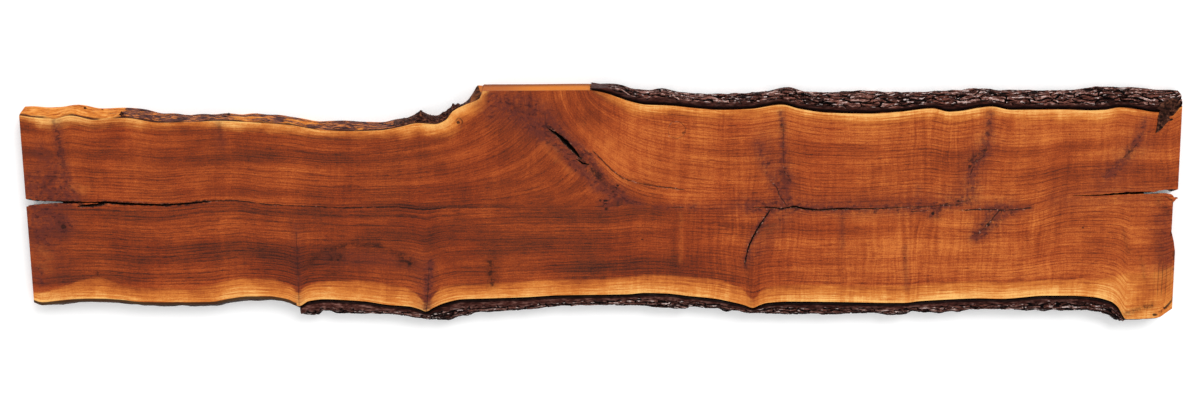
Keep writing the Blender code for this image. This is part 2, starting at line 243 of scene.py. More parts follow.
def board_rings():
    """Round the board at each section: across the face, down, back under it and up again."""
    x = sections(BOARD_STEP, SHARP_PLACES)[:, None]
    down = THICKNESS * (1 - np.linspace(0, 1, WALL_POINTS))[None, :]
    across = np.linspace(0, 1, FACE_POINTS)[1:-1][None, :]
    under = np.linspace(0, 1, UNDER_POINTS)[1:-1][None, :]
    upper = worn_wall(True, x, down)
    lower = worn_wall(False, x, down[:, ::-1])
    face = lower[:, -1:] + across * (upper[:, :1] - lower[:, -1:])
    back = upper[:, -1:] + under * (lower[:, :1] - upper[:, -1:])
    y = np.concatenate([face, upper, back, lower], axis=1)
    z = np.concatenate([
        np.full(face.shape, THICKNESS),
        np.broadcast_to(down, upper.shape),
        np.zeros(back.shape),
        np.broadcast_to(down[:, ::-1], lower.shape),
    ], axis=1)
    x = np.repeat(x, y.shape[1], axis=1)
    x[0] = LEFT_END[0] + LEFT_END[1] * y[0]
    x[-1] = RIGHT_END[0] + RIGHT_END[1] * y[-1]
    return np.stack([x - CENTRE_X, y - CENTRE_Y, z], axis=2)


board = wrapped_grid("board", board_rings())

# Splits and checks: (along, across, half the width on the face, depth). THROUGH is past the
# thickness
THROUGH = 0.060
FIRST_SPLIT_SEED = 41
SPLITS = {
    "left split": (
        (-1.230, -0.005, 0.0105, THROUGH), (-1.198, -0.005, 0.0078, THROUGH),
        (-1.179, -0.0053, 0.0048, THROUGH), (-1.150, -0.0045, 0.0027, THROUGH),
        (-1.108, -0.0045, 0.0022, 0.045), (-1.066, -0.0052, 0.0012, 0.030),
        (-1.033, -0.0050, 0.0024, 0.032), (-0.995, -0.0080, 0.0025, 0.028),
        (-0.914, -0.0110, 0.0021, 0.020), (-0.855, -0.0070, 0.0017, 0.012),
        (-0.815, -0.0020, 0.0012, 0.008), (-0.790, -0.0010, 0.0006, 0.005),
    ),
    "left pocket": (
        (-1.093, -0.0145, 0.0008, 0.008), (-1.082, -0.0130, 0.0026, 0.016),
        (-1.060, -0.0115, 0.0032, 0.020), (-1.036, -0.0085, 0.0026, 0.016),
    ),
    "right split": (
        (0.987, 0.0090, 0.0006, 0.006), (1.045, 0.0105, 0.0015, 0.020),
        (1.097, 0.0145, 0.0025, 0.036), (1.129, 0.0155, 0.0026, 0.046),
        (1.160, 0.0155, 0.0022, THROUGH), (1.181, 0.0190, 0.0038, THROUGH),
        (1.197, 0.0170, 0.0066, THROUGH), (1.225, 0.0080, 0.0120, THROUGH),
    ),
    "crotch crack": (
        (-0.107, 0.152, 0.0012, 0.010), (-0.086, 0.138, 0.0040, 0.024),
        (-0.071, 0.123, 0.0054, 0.030), (-0.058, 0.110, 0.0050, 0.026),
        (-0.041, 0.090, 0.0016, 0.010),
    ),
    "crotch fork": (
        (-0.0495, 0.0875, 0.0010, 0.006), (-0.036, 0.079, 0.0026, 0.014),
        (-0.021, 0.0752, 0.0008, 0.005),
    ),
    "middle check": (
        (0.319, -0.0160, 0.0006, 0.004), (0.350, -0.0155, 0.0014, 0.007),
        (0.380, -0.0190, 0.0012, 0.006), (0.407, -0.0140, 0.0022, 0.008),
        (0.432, -0.0195, 0.0024, 0.008), (0.460, -0.0215, 0.0014, 0.007),
        (0.500, -0.0190, 0.0022, 0.008), (0.530, -0.0195, 0.0016, 0.006),
        (0.590, -0.0180, 0.0009, 0.005), (0.657, -0.0145, 0.0005, 0.004),
    ),
    "slanting check": (
        (0.357, -0.0215, 0.0005, 0.004), (0.336, -0.0510, 0.0016, 0.008),
        (0.322, -0.0780, 0.0020, 0.009), (0.312, -0.1010, 0.0017, 0.008),
        (0.305, -0.1340, 0.0006, 0.004),
    ),
}
# The lower half has lost the corner beside the right split
CHIPPED_END = (
    (1.2045, 0.0025), (1.1980, -0.006), (1.1985, -0.068), (1.2045, -0.090), (1.2092, -0.116),
    (1.2300, -0.116), (1.2300, 0.0025),
)
# Both end splits lean as they go down, by this share of their depth
SPLIT_LEAN = {"left split": 0.26, "right split": 0.26}
SPLIT_STEP = 0.004
TORN_EDGE = 0.26
ABOVE_FACE = 0.002
PAST_FACES = 0.005
# A split's width at its bottom as a share of that on the face: of a check, and of one that goes
# through
CHECK_BOTTOM = 0.45
THROUGH_BOTTOM = 0.8


def split_rings(path, seed, lean):
    """A wedge that opens the face along a path, with torn sides and a narrow bottom."""
    path = np.array(path)
    length = np.concatenate([[0], np.cumsum(np.hypot(*np.diff(path[:, :2], axis=0).T))])
    at = np.linspace(0, length[-1], max(3, int(length[-1] / SPLIT_STEP)))
    x, y, half, depth = (np.interp(at, length, column) for column in path.T)
    side = np.stack([-np.gradient(y), np.gradient(x)], axis=1)
    side /= np.linalg.norm(side, axis=1, keepdims=True)
    torn = TORN_EDGE * half * ripple(at, 0, 0.021, 1, seed)
    torn2 = TORN_EDGE * half * ripple(at, 0, 0.017, 1, seed + 1)
    bottom = np.where(depth < THROUGH, CHECK_BOTTOM, THROUGH_BOTTOM) * half
    rows = []
    for out, z in (
        (half + torn, np.full_like(at, THICKNESS + ABOVE_FACE)),
        (bottom + torn2, THICKNESS - depth),
        (-bottom + torn, THICKNESS - depth),
        (-half + torn2, np.full_like(at, THICKNESS + ABOVE_FACE)),
    ):
        across = y + side[:, 1] * out - lean * (THICKNESS - z)
        rows.append(np.stack([x + side[:, 0] * out - CENTRE_X, across - CENTRE_Y, z], axis=1))
    return np.stack(rows, axis=1)


def cut_away(piece, cutter):
    """The cutter's shape taken out of the piece, and the cutter with it."""
    pick(piece)
    cut = piece.modifiers.new("cut", "BOOLEAN")
    cut.operation = "DIFFERENCE"
    cut.solver = "MANIFOLD"
    cut.object = cutter
    bpy.ops.object.modifier_apply(modifier=cut.name)
    bpy.data.objects.remove(cutter, do_unlink=True)


chip = np.array([
    [(x - CENTRE_X, y - CENTRE_Y, z) for x, y in CHIPPED_END]
    for z in (-PAST_FACES, THICKNESS + PAST_FACES)
])
cut_away(board, wrapped_grid("chipped end", chip))
for seed, (name, path) in enumerate(SPLITS.items(), start=FIRST_SPLIT_SEED):
    cut_away(board, wrapped_grid(name, split_rings(path, seed, SPLIT_LEAN.get(name, 0))))

# The heart's middle line, and the seam where the limb grew out of the trunk
PITH = (
    (-1.210, -0.005), (-1.108, -0.0045), (-1.033, -0.005), (-0.995, -0.0085), (-0.914, -0.011),
    (-0.855, -0.005), (-0.820, -0.002), (-0.760, -0.001), (-0.698, -0.009), (-0.627, -0.013),
    (-0.537, -0.017), (-0.428, -0.015), (-0.366, -0.021), (-0.326, -0.017), (0.012, -0.017),
    (0.084, -0.011), (0.161, -0.0155), (0.319, -0.017), (0.397, -0.0145), (0.445, -0.0215),
    (0.543, -0.018), (0.660, -0.0125), (0.755, -0.021), (0.857, -0.021), (0.900, -0.017),
    (0.987, 0.009), (1.100, 0.0145), (1.210, 0.018),
)
LIMB_SEAM = (
    (-0.233, 0.230), (-0.207, 0.213), (-0.166, 0.181), (-0.135, 0.150), (-0.114, 0.133),
    (-0.079, 0.107), (-0.044, 0.069), (-0.004, 0.034), (0.038, 0.009), (0.084, -0.011),
)
LIMB_PITH = (
    (-0.130, 0.240), (-0.108, 0.156), (-0.083, 0.137), (-0.054, 0.107), (-0.025, 0.075),
    (0.004, 0.045),
)


def from_line(x, y, line):
    """From the nearest bit of a line: how far off to its left, past its ends, along it and away."""
    line = np.array(line)
    best = np.full(x.shape, np.inf)
    off, past, run = np.zeros(x.shape), np.zeros(x.shape), np.zeros(x.shape)
    done = 0.0
    for a, b in zip(line, line[1:]):
        length = math.hypot(*(b - a))
        way = (b - a) / length
        t = (x - a[0]) * way[0] + (y - a[1]) * way[1]
        d = (y - a[1]) * way[0] - (x - a[0]) * way[1]
        over = np.maximum(np.maximum(-t, t - length), 0)
        far = np.hypot(d, over)
        near = far < best
        best = np.where(near, far, best)
        off = np.where(near, d, off)
        past = np.where(near, over, past)
        run = np.where(near, done + np.clip(t, 0, length), run)
        done += length
    return off, past, run / done, best


# Growth round the limb is worked out on a grid, which takes over and ends between these places,
# and is levelled so many times
CROTCH_FROM = (-0.40, -0.37)
CROTCH_TO = (0.23, 0.26)
CROTCH_LOW = -0.024
CROTCH_HIGH = 0.244
CROTCH_STEP = 0.004
CROTCH_PASSES = 1500
# How the growth rises along the seam, on the trunk's side and on the limb's, and the limb's core
TRUNK_RISE = 2.6
LIMB_RISE = 0.9
CORE_HALF = 0.005
CORE_GROWTH = 0.03


def growth_in_crotch():
    """The growth of the wood round the limb on a grid: 0 at the pith, 1 under the bark."""
    xs = np.arange(CROTCH_FROM[0], CROTCH_TO[1] + 0.0001, CROTCH_STEP)
    ys = np.arange(CROTCH_LOW, CROTCH_HIGH + 0.0001, CROTCH_STEP)
    x, y = np.meshgrid(xs, ys, indexing="ij")
    middle = smooth_through(PITH, x)
    edge = wall(True, x, THICKNESS)
    plain = np.clip((y - middle) / (edge - middle), 0, 1)
    off, _, run, _ = from_line(x, y, LIMB_SEAM)
    right = (off > 0) & (x > LIMB_SEAM[0][0]) | (x > LIMB_SEAM[-1][0])
    along_seam = 1 - run
    limb_far = from_line(x, y, LIMB_PITH)[3]
    limb_top = (y > LIMB_SEAM[0][1]) & (x > -0.240) & (x < -0.012)
    grown = np.zeros(x.shape)
    trunk_side = along_seam ** TRUNK_RISE
    limb_side = LIMB_RISE * fade(along_seam, 0.62, 1.0)
    for this_side, at_seam in ((~right, trunk_side), (right, limb_side)):
        fixed = ~this_side | (y <= middle) | ((y >= edge) & ~limb_top)
        value = np.where(this_side, plain, at_seam)
        if this_side is right:
            core = right & (limb_far < CORE_HALF)
            fixed |= core
            value = np.where(core, CORE_GROWTH, value)
        fixed[0], fixed[-1] = True, True
        field = value.copy()
        for _ in range(CROTCH_PASSES):
            padded = np.pad(field, 1, mode="edge")
            level = padded[:-2, 1:-1] + padded[2:, 1:-1] + padded[1:-1, :-2] + padded[1:-1, 2:]
            level = level / 4
            field = np.where(fixed, value, level)
        grown = np.where(this_side, field, grown)
    return xs, ys, grown


def sampled(x, y, xs, ys, field):
    """A grid's value at any place, level between its points."""
    i = np.clip((x - xs[0]) / (xs[1] - xs[0]), 0, len(xs) - 1.001)
    j = np.clip((y - ys[0]) / (ys[1] - ys[0]), 0, len(ys) - 1.001)
    a, b = i.astype(int), j.astype(int)
    s, t = i - a, j - b
    near = field[a, b] * (1 - t) + field[a, b + 1] * t
    far = field[a + 1, b] * (1 - t) + field[a + 1, b + 1] * t
    return near * (1 - s) + far * s


def growth(x, y, z):
    """How far out the wood grew: 0 at the pith, 1 under the bark, and below 0 on the lower side."""
    middle = smooth_through(PITH, x)
    above = y >= middle
    edge = np.where(above, wall(True, x, z), wall(False, x, z))
    share = (y - middle) / np.abs(edge - middle)
    face_edge = wall(True, x, THICKNESS)
    turned = sampled(x, middle + share * (face_edge - middle), *growth_in_crotch())
    window = fade(x, *CROTCH_FROM) * (1 - fade(x, *CROTCH_TO)) * above
    return share * (1 - window) + turned * window


# Width of the pale sapwood along each edge, as (along, width)
LOWER_SAP = (
    (-1.220, 0.015), (-1.163, 0.028), (-1.117, 0.038), (-1.094, 0.046), (-1.052, 0.050),
    (-0.996, 0.037), (-0.932, 0.036), (-0.862, 0.031), (-0.839, 0.040), (-0.793, 0.043),
    (-0.700, 0.044), (-0.655, 0.036), (-0.636, 0.026), (-0.615, 0.034), (-0.580, 0.038),
    (-0.516, 0.043), (-0.433, 0.043), (-0.393, 0.032), (-0.366, 0.015), (-0.332, 0.034),
    (-0.211, 0.033), (-0.042, 0.033), (0.076, 0.037), (0.218, 0.041), (0.300, 0.033),
    (0.321, 0.017), (0.353, 0.034), (0.420, 0.037), (0.549, 0.036), (0.750, 0.037), (0.944, 0.034),
    (1.041, 0.037), (1.088, 0.056), (1.150, 0.086), (1.215, 0.092),
)
UPPER_SAP = (
    (-1.220, 0.010), (-0.900, 0.012), (-0.600, 0.014), (-0.400, 0.016), (-0.340, 0.020),
    (-0.290, 0.026), (-0.245, 0.024), (-0.225, 0.000), (-0.190, -0.020), (-0.060, -0.020),
    (-0.015, 0.002), (0.030, 0.018), (0.120, 0.022), (0.300, 0.018), (0.376, 0.012), (0.450, 0.020),
    (0.600, 0.022), (0.750, 0.020), (0.800, 0.014), (0.900, 0.020), (1.000, 0.022), (1.100, 0.014),
    (1.215, 0.006),
)
LOWER_SAP_BLUR = 0.009
UPPER_SAP_BLUR = 0.042

# How far in from each edge the sapwood glows, upper and lower, and how strongly. Near the right
# end the lower glow reaches further
GLOW_REACH = (0.028, 0.042)
GLOW_SHARE = (0.98, 1.06)
GLOW_LEAST = 0.16
FLARE_REACH = 0.060
FLARE_FROM = (1.04, 1.12)

# How bright the sapwood is along the board
SAP_GLOW = (
    (-1.220, 0.70), (-1.130, 1.10), (-1.000, 1.10), (-0.900, 0.70), (-0.850, 0.65), (-0.780, 1.00),
    (-0.660, 0.85), (-0.600, 0.95), (-0.450, 0.90), (-0.366, 0.75), (-0.280, 1.10), (-0.100, 0.95),
    (0.100, 0.95), (0.230, 0.85), (0.323, 0.70), (0.400, 0.95), (0.600, 1.05), (0.900, 1.10),
    (1.080, 1.00), (1.220, 0.65),
)

# Tone of the heartwood along the board, then patches as (along, across, half length, half width,
# more) and bands as (along, half width, more)
HEART_TONE = (
    (-1.220, 0.44), (-0.900, 0.46), (-0.600, 0.44), (-0.350, 0.46), (-0.100, 0.46), (0.060, 0.51),
    (0.250, 0.61), (0.600, 0.65), (1.000, 0.66), (1.220, 0.61),
)
TONE_PATCHES = (
    (0.110, -0.140, 0.190, 0.045, -0.17), (-0.120, -0.018, 0.230, 0.022, -0.12),
    (0.130, 0.110, 0.110, 0.075, 0.10), (0.060, 0.120, 0.060, 0.040, 0.06),
    (-0.050, 0.180, 0.080, 0.050, -0.08), (1.120, -0.190, 0.060, 0.035, 0.16),
    (-0.900, -0.080, 0.300, 0.080, -0.06), (-0.500, -0.130, 0.160, 0.060, -0.05),
    (0.300, 0.050, 0.060, 0.120, -0.05), (1.050, 0.060, 0.150, 0.060, -0.06),
    (-1.150, 0.090, 0.040, 0.110, -0.06), (0.050, 0.060, 0.100, 0.030, 0.04),
    (-0.300, 0.100, 0.140, 0.070, 0.02), (1.185, -0.060, 0.020, 0.080, -0.14),
    (0.950, -0.020, 0.300, 0.030, -0.03), (0.560, 0.130, 0.200, 0.040, 0.04),
    (-0.300, -0.090, 0.260, 0.080, -0.06), (0.700, -0.110, 0.400, 0.060, -0.03),
    (0.860, 0.070, 0.250, 0.040, -0.09), (-0.050, -0.100, 0.260, 0.055, -0.08),
    (-0.180, 0.060, 0.080, 0.050, 0.04), (1.150, -0.195, 0.050, 0.030, 0.12),
    (0.520, 0.040, 0.120, 0.030, -0.06), (0.800, -0.130, 0.250, 0.040, 0.05),
    (1.040, -0.120, 0.060, 0.060, -0.05), (0.230, -0.140, 0.080, 0.050, -0.06),
    (0.030, 0.140, 0.090, 0.050, 0.07), (0.350, -0.150, 0.060, 0.030, -0.08),
    (-0.750, 0.100, 0.060, 0.060, -0.05), (-0.620, 0.060, 0.060, 0.060, 0.05),
    (-0.950, 0.010, 0.100, 0.020, -0.04), (-1.040, -0.030, 0.060, 0.020, -0.05),
    (-0.900, 0.120, 0.080, 0.030, 0.04),
)
BAND_SWAY = (0.012, 14)
TONE_BANDS = (
    (-0.780, 0.006, 0.05), (-0.690, 0.012, -0.03), (-0.340, 0.014, -0.05), (-0.212, 0.010, -0.05),
    (0.168, 0.010, -0.07), (0.181, 0.004, 0.06), (0.518, 0.004, -0.03), (0.582, 0.006, 0.05),
    (0.634, 0.004, 0.04), (0.728, 0.008, 0.05), (0.800, 0.010, -0.03), (0.860, 0.012, 0.05),
    (0.915, 0.014, 0.05), (0.967, 0.008, -0.06), (1.010, 0.010, 0.03), (1.080, 0.010, 0.03),
    (-1.120, 0.006, -0.03), (-0.995, 0.004, 0.02),
)

# Stains and marks by the brush: (width, strength, places...). Purple veils at knots, pith and seam
PURPLE = (
    (0.010, 0.80, (-1.127, 0.168), (-1.124, 0.118), (-1.118, 0.088), (-1.113, 0.046)),
    (0.030, 0.65, (-1.186, 0.045), (-1.150, 0.035), (-1.118, 0.015)),
    (0.020, 0.55, (-1.190, 0.020), (-1.120, 0.006)),
    (0.022, 0.55, (-1.165, 0.105), (-1.135, 0.062)),
    (0.012, 0.65, (-1.106, 0.020), (-1.094, 0.008)),
    (0.026, 0.95, (-1.150, -0.036), (-1.124, -0.054)),
    (0.034, 0.60, (-1.185, -0.030), (-1.170, -0.085)),
    (0.014, 0.55, (-1.184, -0.150), (-1.178, -0.175)),
    (0.050, 0.25, (-1.180, -0.090), (-1.150, -0.150)),
    (0.010, 0.4, (-0.637, -0.056), (-0.637, -0.108), (-0.636, -0.163), (-0.636, -0.229)),
    (0.009, 0.8, (-0.356, -0.136), (-0.358, -0.163), (-0.363, -0.196), (-0.366, -0.236)),
    (0.024, 0.40, (-0.372, -0.150), (-0.368, -0.230)),
    (0.018, 0.55, (-0.225, 0.222), (-0.200, 0.205), (-0.160, 0.178), (-0.125, 0.148)),
    (0.034, 0.50, (-0.205, 0.200), (-0.160, 0.178), (-0.125, 0.150)),
    (0.010, 0.75, *LIMB_SEAM[3:]),
    (0.022, 0.34, (-0.150, 0.200), (-0.110, 0.176), (-0.090, 0.160)),
    (0.020, 0.45, (-0.170, 0.222), (-0.110, 0.190)),
    (0.010, 0.50, (-0.100, 0.130), (-0.070, 0.095), (-0.040, 0.062)),
    (0.016, 0.40, (-0.250, 0.205), (-0.225, 0.180)),
    (0.020, 0.60, (-0.060, 0.100), (-0.030, 0.070), (0.000, 0.040), (0.040, 0.012)),
    (0.014, 0.90, (-0.104, 0.158), (-0.077, 0.137), (-0.046, 0.111), (-0.017, 0.082),
     (0.000, 0.054)),
    (0.016, 0.7, (-0.004, 0.030), (0.033, 0.017), (0.013, -0.009)),
    (0.008, 0.80, (0.357, -0.019), (0.337, -0.053), (0.319, -0.083), (0.310, -0.119),
     (0.306, -0.140)),
    (0.024, 0.42, (0.384, -0.035), (0.356, -0.066), (0.334, -0.105)),
    (0.013, 0.62, (0.391, -0.008), (0.377, 0.012), (0.361, 0.044), (0.340, 0.085), (0.328, 0.118)),
    (0.008, 0.74, (0.375, 0.186), (0.379, 0.158), (0.381, 0.100), (0.388, 0.040), (0.391, 0.000)),
    (0.014, 0.50, (0.384, 0.058), (0.398, 0.044)), (0.030, 0.34, (0.345, 0.130), (0.385, 0.030)),
    (0.011, 0.72, (0.808, 0.182), (0.806, 0.140), (0.799, 0.100), (0.783, 0.084), (0.775, 0.066),
     (0.771, 0.050), (0.778, 0.028)),
    (0.030, 0.46, (0.800, 0.120), (0.780, 0.080), (0.770, 0.020)),
    (0.009, 0.74, (1.129, 0.170), (1.113, 0.121), (1.100, 0.104), (1.096, 0.092), (1.060, 0.052)),
    (0.032, 0.42, (1.120, 0.120), (1.060, 0.050)), (0.030, 0.44, (1.182, -0.040), (1.192, -0.140)),
    (0.007, 0.35, (0.663, 0.032), (0.667, -0.017)), (0.007, 0.40, (0.505, -0.028), (0.508, -0.100)),
    (0.013, 0.95, (0.833, -0.026), (0.817, -0.047), (0.803, -0.063), (0.787, -0.080)),
    (0.026, 0.50, (0.850, -0.022), (0.800, -0.066)),
    (0.012, 0.80, (0.696, -0.030), (0.702, -0.026)),
    (0.010, 0.60, (0.800, -0.020), (0.860, -0.020), (0.899, -0.017)),
    (0.012, 0.60, (0.310, -0.014), (0.400, -0.017), (0.540, -0.019), (0.690, -0.018),
     (0.765, -0.003)),
    (0.026, 0.36, (0.300, -0.012), (0.500, -0.016), (0.760, 0.000)),
    (0.020, 0.35, (0.780, -0.010), (0.860, -0.018)),
    (0.007, 0.55, (0.115, -0.015), (0.199, -0.015)),
    (0.007, 0.32, (0.640, -0.100), (0.646, -0.190)),
    (0.012, 0.30, (0.199, -0.015), (0.330, -0.012)), (0.026, 0.28, (0.950, 0.000), (1.150, 0.012)),
    (0.012, 0.45, (-0.790, 0.160), (-0.786, 0.120)),
    (0.022, 0.35, (-0.570, -0.120), (-0.400, -0.135)),
)
# Dark strokes at knots and cracks, and painted shadows
DARK = (
    (0.006, 0.5, (-1.058, -0.155), (-1.058, -0.167)),
    (0.007, 0.45, (-1.124, 0.118), (-1.117, 0.060)),
    (0.009, 0.55, (-1.132, -0.046), (-1.120, -0.060)),
    (0.006, 0.5, (-1.160, 0.030), (-1.135, 0.050)),
    (0.016, 0.68, (-0.560, -0.128), (-0.550, -0.124)),
    (0.016, 0.72, (-0.412, -0.132), (-0.398, -0.136)),
    (0.007, 0.55, (-0.637, -0.108), (-0.636, -0.165)),
    (0.010, 0.50, (-0.572, -0.158), (-0.560, -0.160)),
    (0.009, 0.60, (-0.610, -0.134), (-0.578, -0.108), (-0.525, -0.095), (-0.462, -0.100),
     (-0.416, -0.121)),
    (0.012, 0.74, (-0.232, -0.134), (-0.230, -0.156), (-0.228, -0.183)),
    (0.008, 0.65, (-0.108, 0.156), (-0.083, 0.137), (-0.054, 0.107), (-0.025, 0.075),
     (0.000, 0.050)),
    (0.007, 0.6, (-0.010, 0.060), (0.010, 0.036), (0.030, 0.022)),
    (0.006, 0.5, (0.060, 0.040), (0.110, 0.032)), (0.008, 0.5, (-0.175, 0.199), (-0.170, 0.197)),
    (0.007, 0.4, (-0.151, 0.193), (-0.147, 0.191)), (0.016, 0.30, (-0.026, 0.181), (-0.016, 0.181)),
    (0.008, 0.45, (0.308, -0.137), (0.314, -0.185), (0.321, -0.231)),
    (0.005, 0.50, (1.096, -0.065), (1.104, -0.091), (1.110, -0.113)),
    (0.005, 0.50, (1.138, -0.126), (1.149, -0.169)),
    (0.008, 0.7, (1.110, -0.249), (1.132, -0.242), (1.152, -0.233), (1.167, -0.229)),
    (0.015, 0.55, (1.170, 0.004), (1.184, -0.026)), (0.012, 0.30, (1.170, -0.069), (1.182, -0.134)),
    (0.005, 0.30, (0.508, -0.040), (0.510, -0.100)),
    (0.005, 0.30, (0.640, -0.108), (0.646, -0.185)), (0.006, 0.50, (0.379, 0.165), (0.380, 0.150)),
    (0.007, 0.50, (0.382, 0.060), (0.388, 0.044)),
    (0.006, 0.40, (0.380, -0.018), (0.440, -0.020), (0.520, -0.020)),
    (0.007, 0.65, (0.790, 0.098), (0.768, 0.084)), (0.006, 0.45, (-0.790, 0.162), (-0.788, 0.135)),
    (0.006, 0.60, (0.822, -0.040), (0.803, -0.063), (0.792, -0.074)),
    (0.004, 0.50, (0.815, -0.020), (0.870, -0.021)), (0.006, 0.50, (0.806, 0.160), (0.806, 0.140)),
    (0.005, 0.55, (0.799, 0.112), (0.796, 0.100)), (0.010, 0.45, (0.700, -0.031), (0.708, -0.036)),
    (0.008, 0.40, (1.106, 0.108), (1.096, 0.094)),
)
# Pale, torn or bruised wood
PALE = (
    (0.0045, 0.9, (-1.104, 0.030), (-1.092, 0.024), (-1.076, 0.014)),
    (0.0040, 0.7, (-1.092, 0.034), (-1.070, 0.022)),
    (0.010, 0.6, (-1.172, -0.108), (-1.160, -0.124)),
    (0.006, 0.6, (-1.086, 0.020), (-1.070, 0.026)), (0.006, 0.7, (-0.240, 0.213), (-0.243, 0.200)),
    (0.005, 0.6, (-0.286, 0.171), (-0.290, 0.174)),
    (0.008, 0.55, (0.000, 0.103), (0.031, 0.069), (0.067, 0.049)),
    (0.004, 0.5, (0.170, -0.028), (0.170, -0.132)),
    (0.005, 0.6, (0.164, 0.137), (0.160, 0.107), (0.152, 0.067)),
    (0.012, 0.45, (1.080, -0.180), (1.120, -0.200), (1.160, -0.204)),
    (0.010, 0.45, (-1.180, -0.140), (-1.160, -0.150)),
    (0.006, 0.55, (-0.118, 0.118), (-0.090, 0.084), (-0.062, 0.060)),
    (0.004, 0.5, (-0.106, 0.124), (-0.080, 0.094)), (0.010, 0.35, (0.020, 0.130), (0.090, 0.070)),
    (0.014, 0.30, (-0.040, 0.160), (0.020, 0.110)), (0.010, 0.40, (0.340, -0.075), (0.366, -0.058)),
    (0.006, 0.45, (0.700, -0.040), (0.716, -0.052)),
)
# Where the ring lines are faint
QUIET = (
    (0.034, 0.80, (-0.310, 0.160), (-0.262, 0.190), (-0.245, 0.215)),
    (0.070, 0.70, (-0.330, 0.120), (-0.200, 0.050)),
    (0.050, 0.60, (-0.150, 0.120), (-0.080, 0.050)),
    (0.060, 0.75, (-0.180, 0.215), (-0.040, 0.190), (0.020, 0.150)),
    (0.040, 0.60, (-0.020, 0.120), (0.080, 0.080)),
    (0.060, 0.55, (-1.160, 0.120), (-1.160, -0.120)),
    (0.050, 0.50, (-0.980, 0.110), (-0.700, 0.120)),
    (0.050, 0.50, (-0.350, -0.120), (-0.200, -0.130)),
    (0.040, 0.55, (0.150, 0.090), (0.160, -0.120)), (0.060, 0.45, (0.900, 0.140), (1.150, 0.130)),
    (0.050, 0.50, (1.120, -0.120), (1.180, -0.200)),
    (0.040, 0.50, (0.560, -0.060), (0.700, -0.050)),
    (0.050, 0.45, (-0.550, -0.060), (-0.480, -0.170)),
)
# The grooves of a saw near the right end
SCORED = ((0.015, 1.0, (1.184, -0.145), (1.186, -0.195)),)
# Thin dark lines: (half width, strength, places...)
# The pith and the knots are dark wood; along the splits and checks the lines darken the face beside
# each opening as painted shade
LINES = (
    (0.0014, 0.98, *PITH[6:14]),
    (0.0032, 1.00, (-1.190, -0.0052), (-1.150, -0.0045), (-1.108, -0.0045), (-1.085, -0.0050)),
    (0.0034, 1.00, (-1.036, -0.0050), (-0.995, -0.0080), (-0.914, -0.0110), (-0.855, -0.0070),
     (-0.815, -0.0020)),
    (0.0034, 0.95, (-1.084, -0.0125), (-1.060, -0.0115), (-1.036, -0.0085)),
    (0.0013, 0.40, (-0.637, -0.056), (-0.637, -0.108), (-0.636, -0.163), (-0.636, -0.226)),
    (0.0014, 0.55, (-0.360, -0.150), (-0.363, -0.196), (-0.366, -0.236)),
    (0.0034, 1.0, (-0.108, 0.156), (-0.083, 0.137), (-0.054, 0.107), (-0.040, 0.088)),
    (0.0014, 0.8, (-0.012, 0.103), (0.004, 0.086), (0.025, 0.064), (0.050, 0.045), (0.092, 0.034),
     (0.129, 0.028), (0.171, 0.023)),
    (0.0010, 0.9, (0.151, -0.016), (0.171, -0.016)),
    (0.0020, 0.95, (0.357, -0.019), (0.337, -0.053), (0.321, -0.080), (0.311, -0.105),
     (0.305, -0.137)),
    (0.0014, 0.85, (0.833, -0.026), (0.817, -0.047), (0.803, -0.063), (0.790, -0.076)),
    (0.0011, 0.70, (0.803, 0.112), (0.799, 0.094), (0.785, 0.084), (0.777, 0.072), (0.773, 0.058)),
    (0.0010, 0.55, (0.380, 0.158), (0.381, 0.100), (0.384, 0.060), (0.394, 0.048)),
    (0.0009, 0.55, (1.117, 0.122), (1.100, 0.101), (1.092, 0.094)),
    (0.0009, 0.5, (1.063, 0.064), (1.056, 0.056)),
    (0.0013, 0.75, (0.389, -0.010), (0.376, 0.007), (0.369, 0.026), (0.356, 0.040)),
    (0.0022, 0.95, (0.350, -0.0155), (0.380, -0.019), (0.407, -0.014), (0.432, -0.0195),
     (0.460, -0.0215), (0.500, -0.019), (0.530, -0.0195)),
    (0.0011, 0.70, (0.530, -0.0195), (0.590, -0.018), (0.657, -0.0145), (0.700, -0.013),
     (0.732, -0.006), (0.765, -0.002)),
    (0.0010, 0.8, (0.653, -0.025), (0.684, -0.023)),
    (0.0022, 0.60, (1.183, 0.0060), (1.196, -0.0010), (1.200, -0.0120)),
    (0.0010, 0.8, (0.701, -0.014), (0.717, -0.012), (0.744, -0.012)),
    (0.0015, 0.95, (0.755, -0.022), (0.803, -0.020), (0.858, -0.022), (0.899, -0.017)),
    (0.0013, 0.65, (-0.2969, 0.1718), (-0.2917, 0.1766), (-0.2842, 0.1689), (-0.2865, 0.1614)),
    (0.0010, 0.45, (0.141, 0.154), (0.149, 0.167), (0.166, 0.167), (0.178, 0.154), (0.174, 0.137),
     (0.158, 0.131), (0.143, 0.137), (0.141, 0.152)),
)
